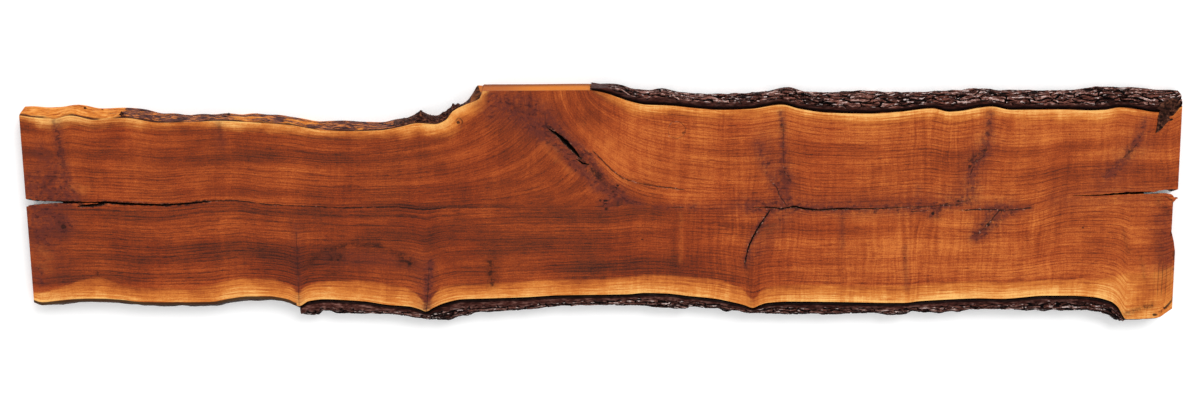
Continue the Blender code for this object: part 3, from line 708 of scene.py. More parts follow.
# Small knots and pin marks: (along, across, half length, half width, strength)
SPOTS = (
    (-1.125, -0.058, 0.0045, 0.0035, 0.8), (-0.551, -0.130, 0.0026, 0.0022, 0.8),
    (-0.400, -0.138, 0.0034, 0.0028, 0.9), (0.037, 0.031, 0.0034, 0.0026, 0.95),
    (0.027, 0.018, 0.0030, 0.0020, 0.8), (0.000, -0.001, 0.0028, 0.0022, 0.8),
    (0.013, -0.002, 0.0042, 0.0022, 0.95), (0.013, -0.019, 0.0030, 0.0026, 0.8),
    (0.173, 0.144, 0.0030, 0.0024, 0.6), (-0.294, 0.166, 0.0030, 0.0032, 0.85),
    (0.377, 0.158, 0.0026, 0.0034, 0.6), (0.800, 0.107, 0.0030, 0.0034, 0.75),
    (0.784, 0.084, 0.0024, 0.0030, 0.65), (0.770, 0.071, 0.0024, 0.0030, 0.7),
    (1.100, 0.104, 0.0026, 0.0030, 0.75), (0.813, -0.054, 0.0034, 0.0022, 1.0),
    (0.696, -0.030, 0.0028, 0.0026, 1.0), (0.749, -0.003, 0.0020, 0.0018, 0.8),
    (1.012, -0.060, 0.0020, 0.0018, 0.8), (-0.078, 0.045, 0.0014, 0.0014, 0.6),
    (-0.270, -0.060, 0.0014, 0.0012, 0.5), (0.089, -0.085, 0.0022, 0.0014, 0.8),
    (-1.058, -0.160, 0.0020, 0.0040, 0.6), (0.470, 0.060, 0.0012, 0.0012, 0.5),
    (1.1955, -0.236, 0.0040, 0.0026, 0.9), (1.2080, -0.216, 0.0022, 0.0040, 0.8),
    (1.1740, -0.250, 0.0046, 0.0022, 0.9), (1.2060, -0.118, 0.0024, 0.0060, 0.7),
    (1.2080, -0.150, 0.0018, 0.0030, 0.6), (1.1970, -0.072, 0.0020, 0.0030, 0.6),
    (0.975, 0.140, 0.0012, 0.0016, 0.5), (0.640, -0.125, 0.0014, 0.0020, 0.6),
    (-0.860, 0.085, 0.0012, 0.0012, 0.4),
)


def brushed(x, y, strokes):
    """Soft strokes laid over each other, as 0 to 1."""
    bare = np.ones(x.shape)
    for width, strength, *line in strokes:
        far = from_line(x, y, line)[3]
        bare = bare * (1 - strength * np.exp(-((far / width) ** 2)))
    return 1 - bare


def write(piece, name, value):
    """Lays one number on each vertex, for the piece's finish to read."""
    piece.data.attributes.new(name, "FLOAT", "POINT").data.foreach_set("value", value)


# Places along the long edges from which the way inwards is measured, without the sawn limb's top
EDGE_PLACES = np.arange(-1.22, 1.225, 0.004)
LIMB_TOP = (-0.236, -0.028)
FAR_AWAY = 9.0


def far_from_edge(upper, x, y):
    """How far each place is from one of the long edges."""
    edge = wall(upper, EDGE_PLACES, THICKNESS)
    kept = ~(upper & (EDGE_PLACES > LIMB_TOP[0]) & (EDGE_PLACES < LIMB_TOP[1]))
    far = np.full(x.shape, FAR_AWAY)
    for along, across in zip(EDGE_PLACES[kept], edge[kept]):
        np.minimum(far, np.hypot(x - along, y - across), out=far)
    return far


def sapwood(x, y, upper):
    """How much of the wood is sapwood at each place, and how brightly it glows."""
    upper_far, lower_far = far_from_edge(True, x, y), far_from_edge(False, x, y)
    upper_sap = (smooth_through(UPPER_SAP, x) - upper_far) / UPPER_SAP_BLUR + 0.5
    lower_sap = (smooth_through(LOWER_SAP, x) - lower_far) / LOWER_SAP_BLUR + 0.5
    lower_reach = GLOW_REACH[1] + FLARE_REACH * fade(x, *FLARE_FROM)
    near_edge = np.where(upper, upper_far / GLOW_REACH[0], lower_far / lower_reach)
    glow = np.clip(1 - near_edge, 0, 1) * smooth_through(SAP_GLOW, x)
    glow = glow * np.where(upper, *GLOW_SHARE) + GLOW_LEAST
    return np.clip(np.where(upper, upper_sap, lower_sap), 0, 1), glow


# The lower half is darker by this, but less and less between these places
LOWER_DARKER = 0.03
LOWER_DARKER_TO = (0.2, 0.6)


def heart_tone(x, y, upper):
    """The heartwood's tone: its course along the board, then the patches and the bands."""
    darker = LOWER_DARKER * (~upper) * (1 - fade(x, *LOWER_DARKER_TO))
    tone = smooth_through(HEART_TONE, x) - darker
    for along, across, half_long, half_wide, more in TONE_PATCHES:
        away = -(((x - along) / half_long) ** 2) - ((y - across) / half_wide) ** 2
        tone = tone + more * np.exp(away)
    sway = BAND_SWAY[0] * np.sin(y * BAND_SWAY[1])
    for along, half, more in TONE_BANDS:
        tone = tone + more * np.exp(-(((x - along - sway) / half) ** 2))
    return tone


# How far from its middle a line or a spot is drawn, and how a line ends
LINE_REACH = (0.0055, 0.010)
LINE_END = (0.001, 0.006)
LINE_MOST = 8
SPOT_REACH = (0.009, 0.014)


def thin_lines(x, y):
    """The nearest thin line: how many half widths away it is, and how strongly it is drawn."""
    line, weight = np.zeros(x.shape), np.zeros(x.shape)
    closest = np.full(x.shape, np.inf)
    for half, strength, *path in LINES:
        off, past, _, far = from_line(x, y, path)
        near = far < closest
        closest = np.where(near, far, closest)
        line = np.where(near, np.clip(off / half, -LINE_MOST, LINE_MOST), line)
        drawn = strength * (1 - fade(np.abs(off), *LINE_REACH)) * (1 - fade(past, *LINE_END))
        weight = np.where(near, drawn, weight)
    return line, weight


def small_spots(x, y):
    """The nearest spot: the way to it in half lengths and half widths, and how strong it is."""
    spot, closest = np.zeros((len(x), 3)), np.full(x.shape, np.inf)
    for along, across, half_long, half_wide, strength in SPOTS:
        far = np.hypot(x - along, y - across)
        near = far < closest
        closest = np.where(near, far, closest)
        weight = strength * (1 - fade(far, *SPOT_REACH))
        here = np.stack([(x - along) / half_long, (y - across) / half_wide, weight], axis=1)
        spot = np.where(near[:, None], here, spot)
    return spot


# The bare part of the lower edge, along which the face is painted with a black band of shade, ends
# between these places
BARE_EDGE_TO = (-0.640, -0.632)


def mark_wood(piece):
    """Writes what the wood's finishes read: growth, sapwood, tone, stains, thin lines and spots."""
    co = points_of(piece)
    x, y, z = co[:, 0] + CENTRE_X, co[:, 1] + CENTRE_Y, co[:, 2]
    grown = growth(x, y, z)
    upper = grown > 0
    sap, sap_glow = sapwood(x, y, upper)
    line, line_weight = thin_lines(x, y)
    # A mask for the black band of painted shade along the bare lower edge of the face
    lower_edge_shade = y - wall(False, x, THICKNESS) + fade(x, *BARE_EDGE_TO)
    marks = {
        "growth": grown, "sap": sap, "sap glow": sap_glow, "tone": heart_tone(x, y, upper),
        "line": line, "line weight": line_weight, "lower_edge_shade": lower_edge_shade,
    }
    strokes = {"purple": PURPLE, "dark": DARK, "pale": PALE, "quiet": QUIET, "scored": SCORED}
    for name, laid in strokes.items():
        marks[name] = brushed(x, y, laid)
    for name, value in marks.items():
        write(piece, name, value)
    spots = piece.data.attributes.new("spot", "FLOAT_VECTOR", "POINT")
    spots.data.foreach_set("vector", small_spots(x, y).ravel())


mark_wood(board)


def join(tree, made, inputs):
    """Sets a node's inputs, each to a value or to another node's output."""
    for key, value in inputs.items():
        if isinstance(value, bpy.types.NodeSocket):
            tree.links.new(value, made.inputs[key])
        else:
            made.inputs[key].default_value = value


def node(tree, kind, inputs=None, **settings):
    """Adds a node, sets it and joins its inputs."""
    made = tree.nodes.new("ShaderNode" + kind)
    for key, value in settings.items():
        setattr(made, key, value)
    join(tree, made, inputs or {})
    return made


def calc(tree, operation, *values):
    return node(tree, "Math", dict(enumerate(values)), operation=operation).outputs[0]


def times(tree, first, second):
    return calc(tree, "MULTIPLY", first, second)


def added(tree, base, *layers):
    """The base with each (layer, strength) added to it."""
    for layer, strength in layers:
        base = calc(tree, "MULTIPLY_ADD", layer, strength, base)
    return base


def swing(tree, value):
    """A value between 0 and 1, moved to swing to both sides of 0."""
    return calc(tree, "SUBTRACT", value, 0.5)


def length_of(tree, *sides):
    """The slanting way made by two straight ones."""
    squares = [calc(tree, "POWER", calc(tree, "ABSOLUTE", side), 2.0) for side in sides]
    return calc(tree, "SQRT", calc(tree, "ADD", *squares))


def ramp(tree, value, low, high, to_low=0.0, to_high=1.0):
    """Smoothly from to_low to to_high as the value goes from low to high."""
    inputs = {0: value, 1: low, 2: high, 3: to_low, 4: to_high}
    return node(tree, "MapRange", inputs, interpolation_type="SMOOTHSTEP").outputs[0]


def place(tree, x, y, z=0.0):
    return node(tree, "CombineXYZ", {0: x, 1: y, 2: z}).outputs[0]


def stretched(tree, where, scale, turn=(0, 0, 0)):
    """Places scaled along each axis, and turned."""
    return node(tree, "Mapping", {"Vector": where, "Rotation": turn, "Scale": scale}).outputs[0]


def noise(tree, where, scale=1.0, detail=2.0, rough=0.5, dimensions="3D"):
    inputs = {"Vector": where, "Scale": scale, "Detail": detail, "Roughness": rough}
    return node(tree, "TexNoise", inputs, noise_dimensions=dimensions).outputs[0]


def mixed(tree, share, first, second, blend="MIX"):
    """Two colours, or one colour changed by another."""
    inputs = {0: share, 6: first, 7: second}
    return node(tree, "Mix", inputs, data_type="RGBA", blend_type=blend).outputs[2]


def colours(tree, value, stops):
    """A value turned to colour through (position, red, green, blue) stops."""
    made = node(tree, "ValToRGB", {0: value})
    band = made.color_ramp.elements
    while len(band) < len(stops):
        band.new(0.5)
    for element, (position, *colour) in zip(band, stops):
        element.position = position
        element.color = (*colour, 1)
    return made.outputs[0]


def attribute(tree, name, output=2):
    return node(tree, "Attribute", attribute_name=name).outputs[output]


def new_group(name, inputs, outputs):
    """An empty shader node group with float or vector sockets."""
    group = bpy.data.node_groups.new(name, "ShaderNodeTree")
    for way, sockets in (("INPUT", inputs), ("OUTPUT", outputs)):
        for label, kind in sockets:
            group.interface.new_socket(label, in_out=way, socket_type="NodeSocket" + kind)
    return group, group.nodes.new("NodeGroupInput"), group.nodes.new("NodeGroupOutput")


# The pattern of growth that every cut through the wood shows: dark late-wood lines, streaks and
# open pores
figure, start, end = new_group(
    "walnut figure",
    [(label, "Float") for label in ("Growth", "Depth", "Along")],
    [(label, "Float") for label in ("Late wood", "Streaks", "Pores", "Ring", "Drift")],
)
ring = length_of(figure, start.outputs[0], start.outputs[1])
half = times(figure, calc(figure, "SIGN", start.outputs[0]), 7.3)


def in_figure(across, length, other, **settings):
    """Noise finer across the rings than along them, and its own on each half of the board."""
    where = place(
        figure,
        times(figure, ring, across),
        times(figure, start.outputs[2], length),
        calc(figure, "ADD", half, other),
    )
    return noise(figure, where, **settings)


RINGS_TO_BARK = 27.0
wander = swing(figure, in_figure(4.5, 2.6, 0.0, detail=3.0, rough=0.55))
wobble = swing(figure, in_figure(26.0, 24.0, 1.3))
uneven = swing(figure, in_figure(11.0, 0.15, 3.1, detail=1.0))
phase = times(figure, wander, 2.8)
phase = added(figure, phase, (ring, RINGS_TO_BARK), (uneven, 2.4), (wobble, 0.45))
saw = calc(figure, "FRACT", phase)
late = times(figure, ramp(figure, saw, 0.55, 0.92), ramp(figure, saw, 0.92, 1.0, 1.0, 0.0))
shown = ramp(figure, in_figure(13.0, 2.2, 5.7), 0.30, 0.60, 0.35, 1.0)
dashed = ramp(figure, in_figure(40.0, 70.0, 8.7), 0.36, 0.58, 0.45, 1.0)
late = times(figure, late, times(figure, shown, dashed))
long_streaks = in_figure(70.0, 9.0, 11.3, detail=3.0, rough=0.6)
short_streaks = in_figure(150.0, 34.0, 14.1, detail=3.0, rough=0.65)
streaks = calc(figure, "SUBTRACT", added(figure, long_streaks, (short_streaks, 0.9)), 0.95)
pores = ramp(figure, in_figure(240.0, 70.0, 17.9), 0.54, 0.72)
drift = swing(figure, in_figure(6.5, 2.2, 23.1))
for i, value in enumerate((late, streaks, pores, ring, drift)):
    figure.links.new(value, end.inputs[i])


# Wiped-on oil: a little more or less sheen from place to place
oiled, start, end = new_group("wiped oil", [("Place", "Vector")], [("Sheen", "Float")])
sheen = noise(oiled, start.outputs[0], scale=9.0, detail=3.0, rough=0.6)
oiled.links.new(sheen, end.inputs[0])

HEART_COLOURS = (
    (0.00, 0.034, 0.011, 0.0080), (0.22, 0.108, 0.022, 0.0085), (0.46, 0.230, 0.036, 0.0078),
    (0.70, 0.400, 0.076, 0.0140), (1.00, 0.660, 0.190, 0.0360),
)
SAP_COLOURS = (
    (0.00, 0.230, 0.042, 0.009), (0.30, 0.430, 0.098, 0.016), (0.60, 0.650, 0.200, 0.034),
    (1.00, 0.930, 0.500, 0.150),
)
REDDER_HEART = (0.88, 0.66, 0.72, 1)
PURPLE_STAIN = (0.105, 0.022, 0.017, 1)
PURPLE_FLECKS = (0.034, 0.007, 0.008, 1)
DARK_STAIN_AND_SHADE = (0.012, 0.005, 0.004, 1)
PALE_WOOD = (0.560, 0.140, 0.026, 1)
FIBRE_HIGHLIGHT = (0.480, 0.220, 0.150, 1)
GRAIN_BUMP = 0.00035


def new_finish(name):
    """A new material, its nodes, its shader, and the place on the board as a whole and by axis."""
    finish = bpy.data.materials.new(name)
    finish.use_nodes = True
    tree = finish.node_tree
    where = node(tree, "TexCoord").outputs["Object"]
    apart = node(tree, "SeparateXYZ", {0: where})
    return finish, tree, tree.nodes["Principled BSDF"], where, apart.outputs


def wood_finish(name):
    """A new finish with the figure and the oil's sheen ready to use."""
    finish, tree, shader, where, (x, y, z) = new_finish(name)
    depth = calc(tree, "DIVIDE", calc(tree, "SUBTRACT", THICKNESS, z), 0.2)
    inputs = {0: attribute(tree, "growth"), 1: depth, 2: x}
    grain = node(tree, "Group", inputs, node_tree=figure).outputs
    sheen = node(tree, "Group", {0: where}, node_tree=oiled).outputs[0]
    return finish, tree, shader, where, (x, y, z), grain, sheen


def set_surface(tree, shader, colour, rough, specular, height, strength, distance):
    """Gives a finish its colour, roughness, specular level and bump."""
    bump = node(tree, "Bump", {"Strength": strength, "Distance": distance, "Height": height})
    join(tree, shader, {
        "Base Color": colour, "Roughness": rough, "Specular IOR Level": specular,
        "Normal": bump.outputs[0],
    })


face_wood, tree, shader, where, (x, y, z), grain, sheen = wood_finish("oiled walnut face")
warp = added(tree, x, (noise(tree, where, scale=14.0, detail=1.0), 0.020))


def crests(along, across, detail):
    """Waves across the grain, so many to the metre along the board and across it."""
    where = place(tree, times(tree, warp, along), times(tree, y, across))
    return swing(tree, noise(tree, where, detail=detail, dimensions="2D"))


# Cross curl, 8 mm from crest to crest with finer threads 4 mm apart, stronger towards the right
curl = added(tree, crests(115.0, 9.0, 2.0), (crests(255.0, 7.0, 1.0), 0.7))
curl_reach = ramp(tree, x, -0.3, 0.7, 0.35, 1.0)
curl_patch = ramp(tree, noise(tree, where, scale=4.5, detail=1.0), 0.35, 0.65, 0.4, 1.2)
curl = times(tree, curl, times(tree, curl_reach, curl_patch))
quiet = attribute(tree, "quiet")
late = times(tree, grain["Late wood"], added(tree, 1.0, (quiet, -0.85)))
streaks = times(tree, grain["Streaks"], added(tree, 1.0, (quiet, -0.65)))
mottle = swing(tree, noise(tree, where, scale=11.0, detail=5.0, rough=0.62))
mottle = times(tree, mottle, added(tree, 1.0, (quiet, 0.8)))
speckle = swing(tree, noise(tree, where, scale=380.0, detail=2.0, rough=0.7))
drift = times(tree, grain["Drift"], ramp(tree, x, -0.45, 0.15, 0.95, 0.60))
tone = added(
    tree, calc(tree, "ADD", attribute(tree, "tone"), drift),
    (late, -0.31), (streaks, 0.44), (grain["Pores"], -0.22), (speckle, 0.62), (curl, 0.29),
    (mottle, 0.50),
)
heart = colours(tree, calc(tree, "ADD", tone, 0.09), HEART_COLOURS)
redder = ramp(tree, noise(tree, where, scale=7.0, detail=3.0, rough=0.6), 0.40, 0.70)
heart = mixed(tree, times(tree, redder, 0.40), heart, REDDER_HEART, "MULTIPLY")
sap_tone = added(
    tree, 0.12,
    (streaks, 0.85), (late, -0.22), (speckle, 0.50), (curl, 0.30), (mottle, 1.10),
    (attribute(tree, "sap glow"), 0.62),
)
pale_sap = colours(tree, sap_tone, SAP_COLOURS)
sap_edge = added(tree, attribute(tree, "sap"), (grain["Streaks"], 0.30), (mottle, 0.80))
colour = mixed(tree, ramp(tree, sap_edge, 0.15, 0.85), heart, pale_sap)


def thickened(stain, share, low, high, more):
    """A stain that is thin where it is weak, and closes up where it is strong."""
    return calc(tree, "ADD", times(tree, stain, share), ramp(tree, stain, low, high, 0.0, more))


# Purple veils with darker flecks, pale and dark strokes, all with ragged rims
ragged = noise(tree, where, scale=90.0, detail=5.0, rough=0.70)
ragged = ramp(tree, ragged, 0.30, 0.68, 0.45, 1.30)
purple = thickened(times(tree, attribute(tree, "purple"), ragged), 0.80, 0.50, 0.95, 0.25)
flecks = noise(tree, stretched(tree, where, (0.6, 1.0, 1.0)), scale=150.0, detail=4.0, rough=0.6)
flecks = ramp(tree, flecks, 0.53, 0.63, 0.0, 0.65)
flecks = times(tree, flecks, ramp(tree, purple, 0.15, 0.60))
colour = mixed(tree, calc(tree, "MINIMUM", purple, 0.75), colour, PURPLE_STAIN)
pale = times(tree, attribute(tree, "pale"), ramp(tree, ragged, 0.60, 1.20, 0.15, 0.60))
colour = mixed(tree, pale, colour, PALE_WOOD)
dark = thickened(times(tree, attribute(tree, "dark"), ragged), 0.55, 0.40, 0.80, 0.45)
# Fine grooves of a saw near the right end
GROOVES_TO_METRE = 119.0
groove = calc(tree, "FRACT", added(tree, 0.4, (x, GROOVES_TO_METRE)))
groove = ramp(tree, calc(tree, "ABSOLUTE", swing(tree, groove)), 0.30, 0.44)
groove = times(tree, groove, attribute(tree, "scored"))
dark = calc(tree, "MAXIMUM", dark, times(tree, groove, 0.6))
# Thin lines and spots, which waver by a share of their width
waver = times(tree, swing(tree, noise(tree, where, scale=120.0)), 2.6)
line_off = calc(tree, "ABSOLUTE", calc(tree, "ADD", attribute(tree, "line"), waver))
line_weight = attribute(tree, "line weight")
broken = ramp(tree, noise(tree, where, scale=60.0, detail=1.0), 0.30, 0.50, 0.40, 1.0)
line = times(tree, ramp(tree, line_off, 0.4, 1.5, 1.0, 0.0), line_weight)
line = times(tree, line, broken)
spot = node(tree, "SeparateXYZ", {0: attribute(tree, "spot", 1)}).outputs
spot_far = calc(tree, "ADD", length_of(tree, spot[0], spot[1]), waver)
spot = times(tree, ramp(tree, spot_far, 0.7, 1.7, 1.0, 0.0), spot[2])
marks = calc(tree, "MAXIMUM", line, spot)
# Painted shade: a black band along the bare lower edge, standing in for the shade under that edge
lower_edge_shade = calc(tree, "ADD", attribute(tree, "lower_edge_shade"), times(tree, waver, 0.0004))
lower_edge_shade = ramp(tree, lower_edge_shade, 0.0046, 0.0064, 0.98, 0.0)
# Stains, dark lines and spots, painted shadows among the dark strokes and the painted shade of the
# lower edge all take one dark colour
stain = calc(tree, "MAXIMUM", marks, times(tree, dark, 0.85))
stain = calc(tree, "MAXIMUM", stain, lower_edge_shade)
colour = mixed(tree, flecks, colour, PURPLE_FLECKS)
colour = mixed(tree, calc(tree, "MINIMUM", stain, 0.94), colour, DARK_STAIN_AND_SHADE)
# Painted highlights: pale specks beside the open lines where torn fibres catch the light, stronger
# towards the right
fibres = ramp(tree, noise(tree, where, scale=170.0), 0.61, 0.68)
fibres = times(tree, fibres, ramp(tree, line_off, 0.9, 2.8, 0.55, 0.0))
fibres = times(tree, fibres, line_weight)
fibres = times(tree, fibres, ramp(tree, x, -0.20, 0.10, 0.35, 1.0))
colour = mixed(tree, fibres, colour, FIBRE_HIGHLIGHT)
height = added(tree, times(tree, grain["Streaks"], 0.5), (grain["Pores"], -1.0), (marks, -2.0))
rough = ramp(tree, sheen, 0.3, 0.7, 0.44, 0.56)
set_surface(tree, shader, colour, rough, 0.10, height, 0.6, GRAIN_BUMP)

# The bare wall where the bark has come off: gold and brown wood with scales of reddish inner bark
BARE_COLOURS = (
    (0.00, 0.110, 0.022, 0.006), (0.25, 0.360, 0.082, 0.014), (0.50, 0.660, 0.215, 0.034),
    (1.00, 0.960, 0.520, 0.150),
)
INNER_BARK_COLOURS = (
    (0.34, 0.006, 0.003, 0.003), (0.46, 0.064, 0.024, 0.022), (0.56, 0.150, 0.050, 0.036),
    (0.66, 0.520, 0.160, 0.040),
)
SLASHED = (0.640, 0.200, 0.046, 1)
ARRIS = (0.045, 0.012, 0.006, 1)
FLANK_BROWN = (0.300, 0.085, 0.022, 1)
FLANK_SHADE = (0.016, 0.005, 0.003, 1)
FLANK_SCALES = (0.200, 0.060, 0.020, 1)
FRESHLY_SAWN = (0.500, 0.150, 0.034, 1)
SHADED = (0.020, 0.012, 0.010, 1)
EDGE_BUMP = 0.0014
edge_wood, tree, shader, where, (x, y, z) = new_finish("bare live edge")
longer = stretched(tree, where, (0.45, 1.0, 1.6))
scales = noise(tree, longer, scale=85.0, detail=5.0, rough=0.68)
patches = noise(tree, longer, scale=28.0, detail=3.0)
clings = calc(tree, "ADD", added(tree, patches, (scales, 0.40)), attribute(tree, "bark left"))
clings = ramp(tree, clings, 0.66, 0.71)
bare = colours(tree, added(tree, -0.42, (scales, 1.8)), BARE_COLOURS)
colour = mixed(tree, clings, bare, colours(tree, scales, INNER_BARK_COLOURS))
slashes = stretched(tree, where, (0.4, 1.0, 2.0), (0, 0.5, 0.4))
slashes = ramp(tree, noise(tree, slashes, scale=130.0), 0.57, 0.62)
slashes = times(tree, times(tree, slashes, clings), 0.9)
colour = mixed(tree, slashes, colour, SLASHED)
arris = ramp(tree, z, THICKNESS - 0.0110, THICKNESS - 0.0040)
arris = times(tree, arris, ramp(tree, noise(tree, where, scale=16.0), 0.34, 0.52, 0.30, 0.95))
colour = mixed(tree, arris, colour, ARRIS)
# Beside the limb the wall is smooth: brown, with painted shade in black at its top
flank = times(tree, ramp(tree, x, -0.300, -0.288), ramp(tree, x, -0.2440, -0.2415, 1.0, 0.0))
slant = added(tree, x, (calc(tree, "SUBTRACT", THICKNESS, z), 0.22))
flank_colour = mixed(tree, ramp(tree, slant, -0.272, -0.252), FLANK_BROWN, FLANK_SHADE)
flank_scales = ramp(tree, scales, 0.46, 0.62, 0.0, 0.5)
flank_colour = mixed(tree, flank_scales, flank_colour, FLANK_SCALES)
colour = mixed(tree, times(tree, flank, 0.9), colour, flank_colour)
sawn_over = ramp(tree, slant, -0.2465, -0.2455)
sawn_over = times(tree, sawn_over, ramp(tree, x, -0.20, -0.19, 1.0, 0.0))
colour = mixed(tree, sawn_over, colour, FRESHLY_SAWN)
colour = mixed(tree, times(tree, attribute(tree, "below"), 0.93), colour, SHADED)
height = calc(tree, "ADD", scales, times(tree, clings, 0.5))
rough = ramp(tree, scales, 0.3, 0.7, 0.70, 0.50)
set_surface(tree, shader, colour, rough, 0.03, height, 1.0, EDGE_BUMP)

# Sawn ends: the rings show as arcs, darker than the face because end grain drinks more oil. The
# sawn limb shows its own, from brown at the left to gold
LIMB_BROWN = (0.520, 0.135, 0.022, 1)
LIMB_GOLD = (0.760, 0.225, 0.022, 1)
LIMB_RAYS = (0.150, 0.045, 0.020, 1)
LIMB_RIMS = (0.150, 0.048, 0.026, 1)
END_BUMP = 0.0005
end_wood, tree, shader, where, (x, y, z), grain, sheen = wood_finish("sawn end grain")
rays = noise(tree, where, scale=900.0)
tone = added(tree, attribute(tree, "tone"), (grain["Late wood"], -0.45), (swing(tree, rays), 0.5))
tone = calc(tree, "SUBTRACT", tone, 0.10)
heart = colours(tree, tone, HEART_COLOURS)
pale_sap = colours(tree, calc(tree, "ADD", tone, 0.05), SAP_COLOURS)
colour = mixed(tree, ramp(tree, grain["Ring"], 0.80, 0.88), heart, pale_sap)
limb = times(tree, ramp(tree, x, 0.30, 0.34, 1.0, 0.0), ramp(tree, x, -0.34, -0.30))
limb_colour = mixed(tree, ramp(tree, x, -0.22, -0.13), LIMB_BROWN, LIMB_GOLD)
limb_colour = mixed(tree, times(tree, rays, 0.5), limb_colour, LIMB_RAYS)
low_part = ramp(tree, z, 0.006, 0.028, 0.75, 0.0)
top_line = ramp(tree, z, THICKNESS - 0.0080, THICKNESS - 0.0020, 0.0, 0.3)
limb_colour = mixed(tree, calc(tree, "MAXIMUM", low_part, top_line), limb_colour, LIMB_RIMS)
colour = mixed(tree, limb, colour, limb_colour)
height = calc(tree, "ADD", rays, noise(tree, stretched(tree, where, (1.0, 260.0, 25.0))))
rough = ramp(tree, sheen, 0.3, 0.7, 0.60, 0.72)
set_surface(tree, shader, colour, rough, 0.04, height, 0.5, END_BUMP)

# Torn wood inside the splits: dry, pale fibres at the upper lip over an inside painted black as
# shade
FIBRE_COLOURS = (
    (0.30, 0.060, 0.020, 0.012), (0.50, 0.300, 0.120, 0.070), (0.72, 0.700, 0.420, 0.300),
)
SPLIT_SHADE = (0.004, 0.002, 0.002, 1)
TORN_BUMP = 0.0006
torn_wood, tree, shader, where, (x, y, z) = new_finish("torn split")
fibres = noise(tree, stretched(tree, where, (30.0, 300.0, 300.0)), detail=3.0)
lip = ramp(tree, z, THICKNESS - 0.0026, THICKNESS - 0.0008, 0.0, 1.0)
lip = times(tree, lip, ramp(tree, noise(tree, where, scale=140.0), 0.46, 0.58))
torn = colours(tree, fibres, FIBRE_COLOURS)
colour = mixed(tree, lip, mixed(tree, 0.94, torn, SPLIT_SHADE), torn)
set_surface(tree, shader, colour, 0.85, 0.15, fibres, 0.8, TORN_BUMP)


# Where inner bark still clings to the upper wall: (along, more or less than an even scatter)
BARK_LEFT = (
    (-1.220, -0.22), (-1.005, -0.20), (-0.985, 0.16), (-0.850, 0.18), (-0.790, 0.08),
    (-0.750, 0.00), (-0.690, 0.05), (-0.620, -0.02), (-0.560, 0.08), (-0.450, 0.14), (-0.380, 0.20),
    (-0.290, 0.20), (-0.240, 0.10), (0.300, 0.20), (1.220, 0.20),
)


# The four finishes, and where the ends, the sawn limb, the live edges and the splits' insides are
FLAT, LIVE, SAWN, TORN = range(4)
END_FROM = 1.19
LIMB_CUT = (-0.246, -0.020)
EDGE_BAND = 0.012
SUNK = 0.0005
# Above this height less and less inner bark is left
CLINGS_TO = 0.030
CLINGS_LESS = 1.5
BOARD_CREASE = math.radians(35)


def coat(piece, *finishes):
    """Gives the piece these finishes and no others."""
    piece.data.materials.clear()
    for finish in finishes:
        piece.data.materials.append(finish)


def finish_board(piece):
    """Puts each wood finish on its faces: flat sawn, live edge, sawn ends and inside the splits."""
    coat(piece, face_wood, edge_wood, end_wood, torn_wood)
    count = len(piece.data.polygons)
    normal, centre = np.empty(count * 3), np.empty(count * 3)
    piece.data.polygons.foreach_get("normal", normal)
    piece.data.polygons.foreach_get("center", centre)
    normal, centre = normal.reshape(-1, 3), centre.reshape(-1, 3)
    x, y, z = centre[:, 0] + CENTRE_X, centre[:, 1] + CENTRE_Y, centre[:, 2]
    to_edge = np.minimum(wall(True, x, z) - y, y - wall(False, x, z))
    upright = np.abs(normal[:, 2]) < 0.8
    at_end = upright & (np.abs(normal[:, 0]) > 0.8) & (np.abs(x) > END_FROM)
    live = upright & (to_edge < EDGE_BAND) & ~at_end
    sawn_limb = live & (x > LIMB_CUT[0]) & (x < LIMB_CUT[1]) & (y > 0)
    sunk = (z < THICKNESS - SUNK) & (z > SUNK) & ~upright & (to_edge > EDGE_BAND / 2)
    kind = np.full(count, FLAT)
    kind[upright] = TORN
    kind[live] = LIVE
    kind[at_end | sawn_limb] = SAWN
    kind[sunk] = TORN
    piece.data.polygons.foreach_set("material_index", kind)
    co = points_of(piece)
    even = smooth_through(BARK_LEFT, co[:, 0] + CENTRE_X)
    write(piece, "bark left", even - CLINGS_LESS * np.maximum(0, co[:, 2] - CLINGS_TO))
    write(piece, "below", (co[:, 1] < 0).astype(float))
    pick(piece)
    bpy.ops.object.shade_smooth_by_angle(angle=BOARD_CREASE)


finish_board(board)
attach(board, "root")
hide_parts("slab_wood")

# The bark: thick ridged plates of walnut bark that still grip both edges, sawn level with the
# face on top. Between the sawn band and the wood a narrow groove has opened, painted black as
# shade.
UPPER_BARK = (
    (-0.026, 0.2375), (0.000, 0.238), (0.033, 0.239), (0.067, 0.230), (0.094, 0.226),
    (0.129, 0.230), (0.167, 0.222), (0.198, 0.220), (0.244, 0.218), (0.292, 0.220),
    (0.337, 0.222), (0.391, 0.233), (0.427, 0.224), (0.479, 0.222), (0.542, 0.225),
    (0.625, 0.222), (0.750, 0.227), (0.781, 0.230), (0.833, 0.227), (0.958, 0.226),
    (1.006, 0.230), (1.041, 0.234), (1.114, 0.232), (1.166, 0.227), (1.203, 0.226),
)
LOWER_BARK = (
    (-0.640, -0.250), (-0.632, -0.256), (-0.597, -0.256), (-0.588, -0.249), (-0.574, -0.249),
    (-0.559, -0.254), (-0.467, -0.254), (-0.431, -0.257), (-0.383, -0.264), (-0.336, -0.268),
    (-0.308, -0.264), (-0.255, -0.251), (-0.170, -0.246), (-0.085, -0.238), (-0.032, -0.235),
    (0.085, -0.235), (0.127, -0.241), (0.183, -0.243), (0.191, -0.239), (0.255, -0.245),
    (0.319, -0.252), (0.446, -0.256), (0.574, -0.252), (0.627, -0.257), (0.648, -0.255),
    (0.663, -0.249), (0.697, -0.252), (0.739, -0.250), (0.807, -0.244), (0.945, -0.248),
    (1.030, -0.247), (1.073, -0.255), (1.106, -0.269), (1.114, -0.271),
)
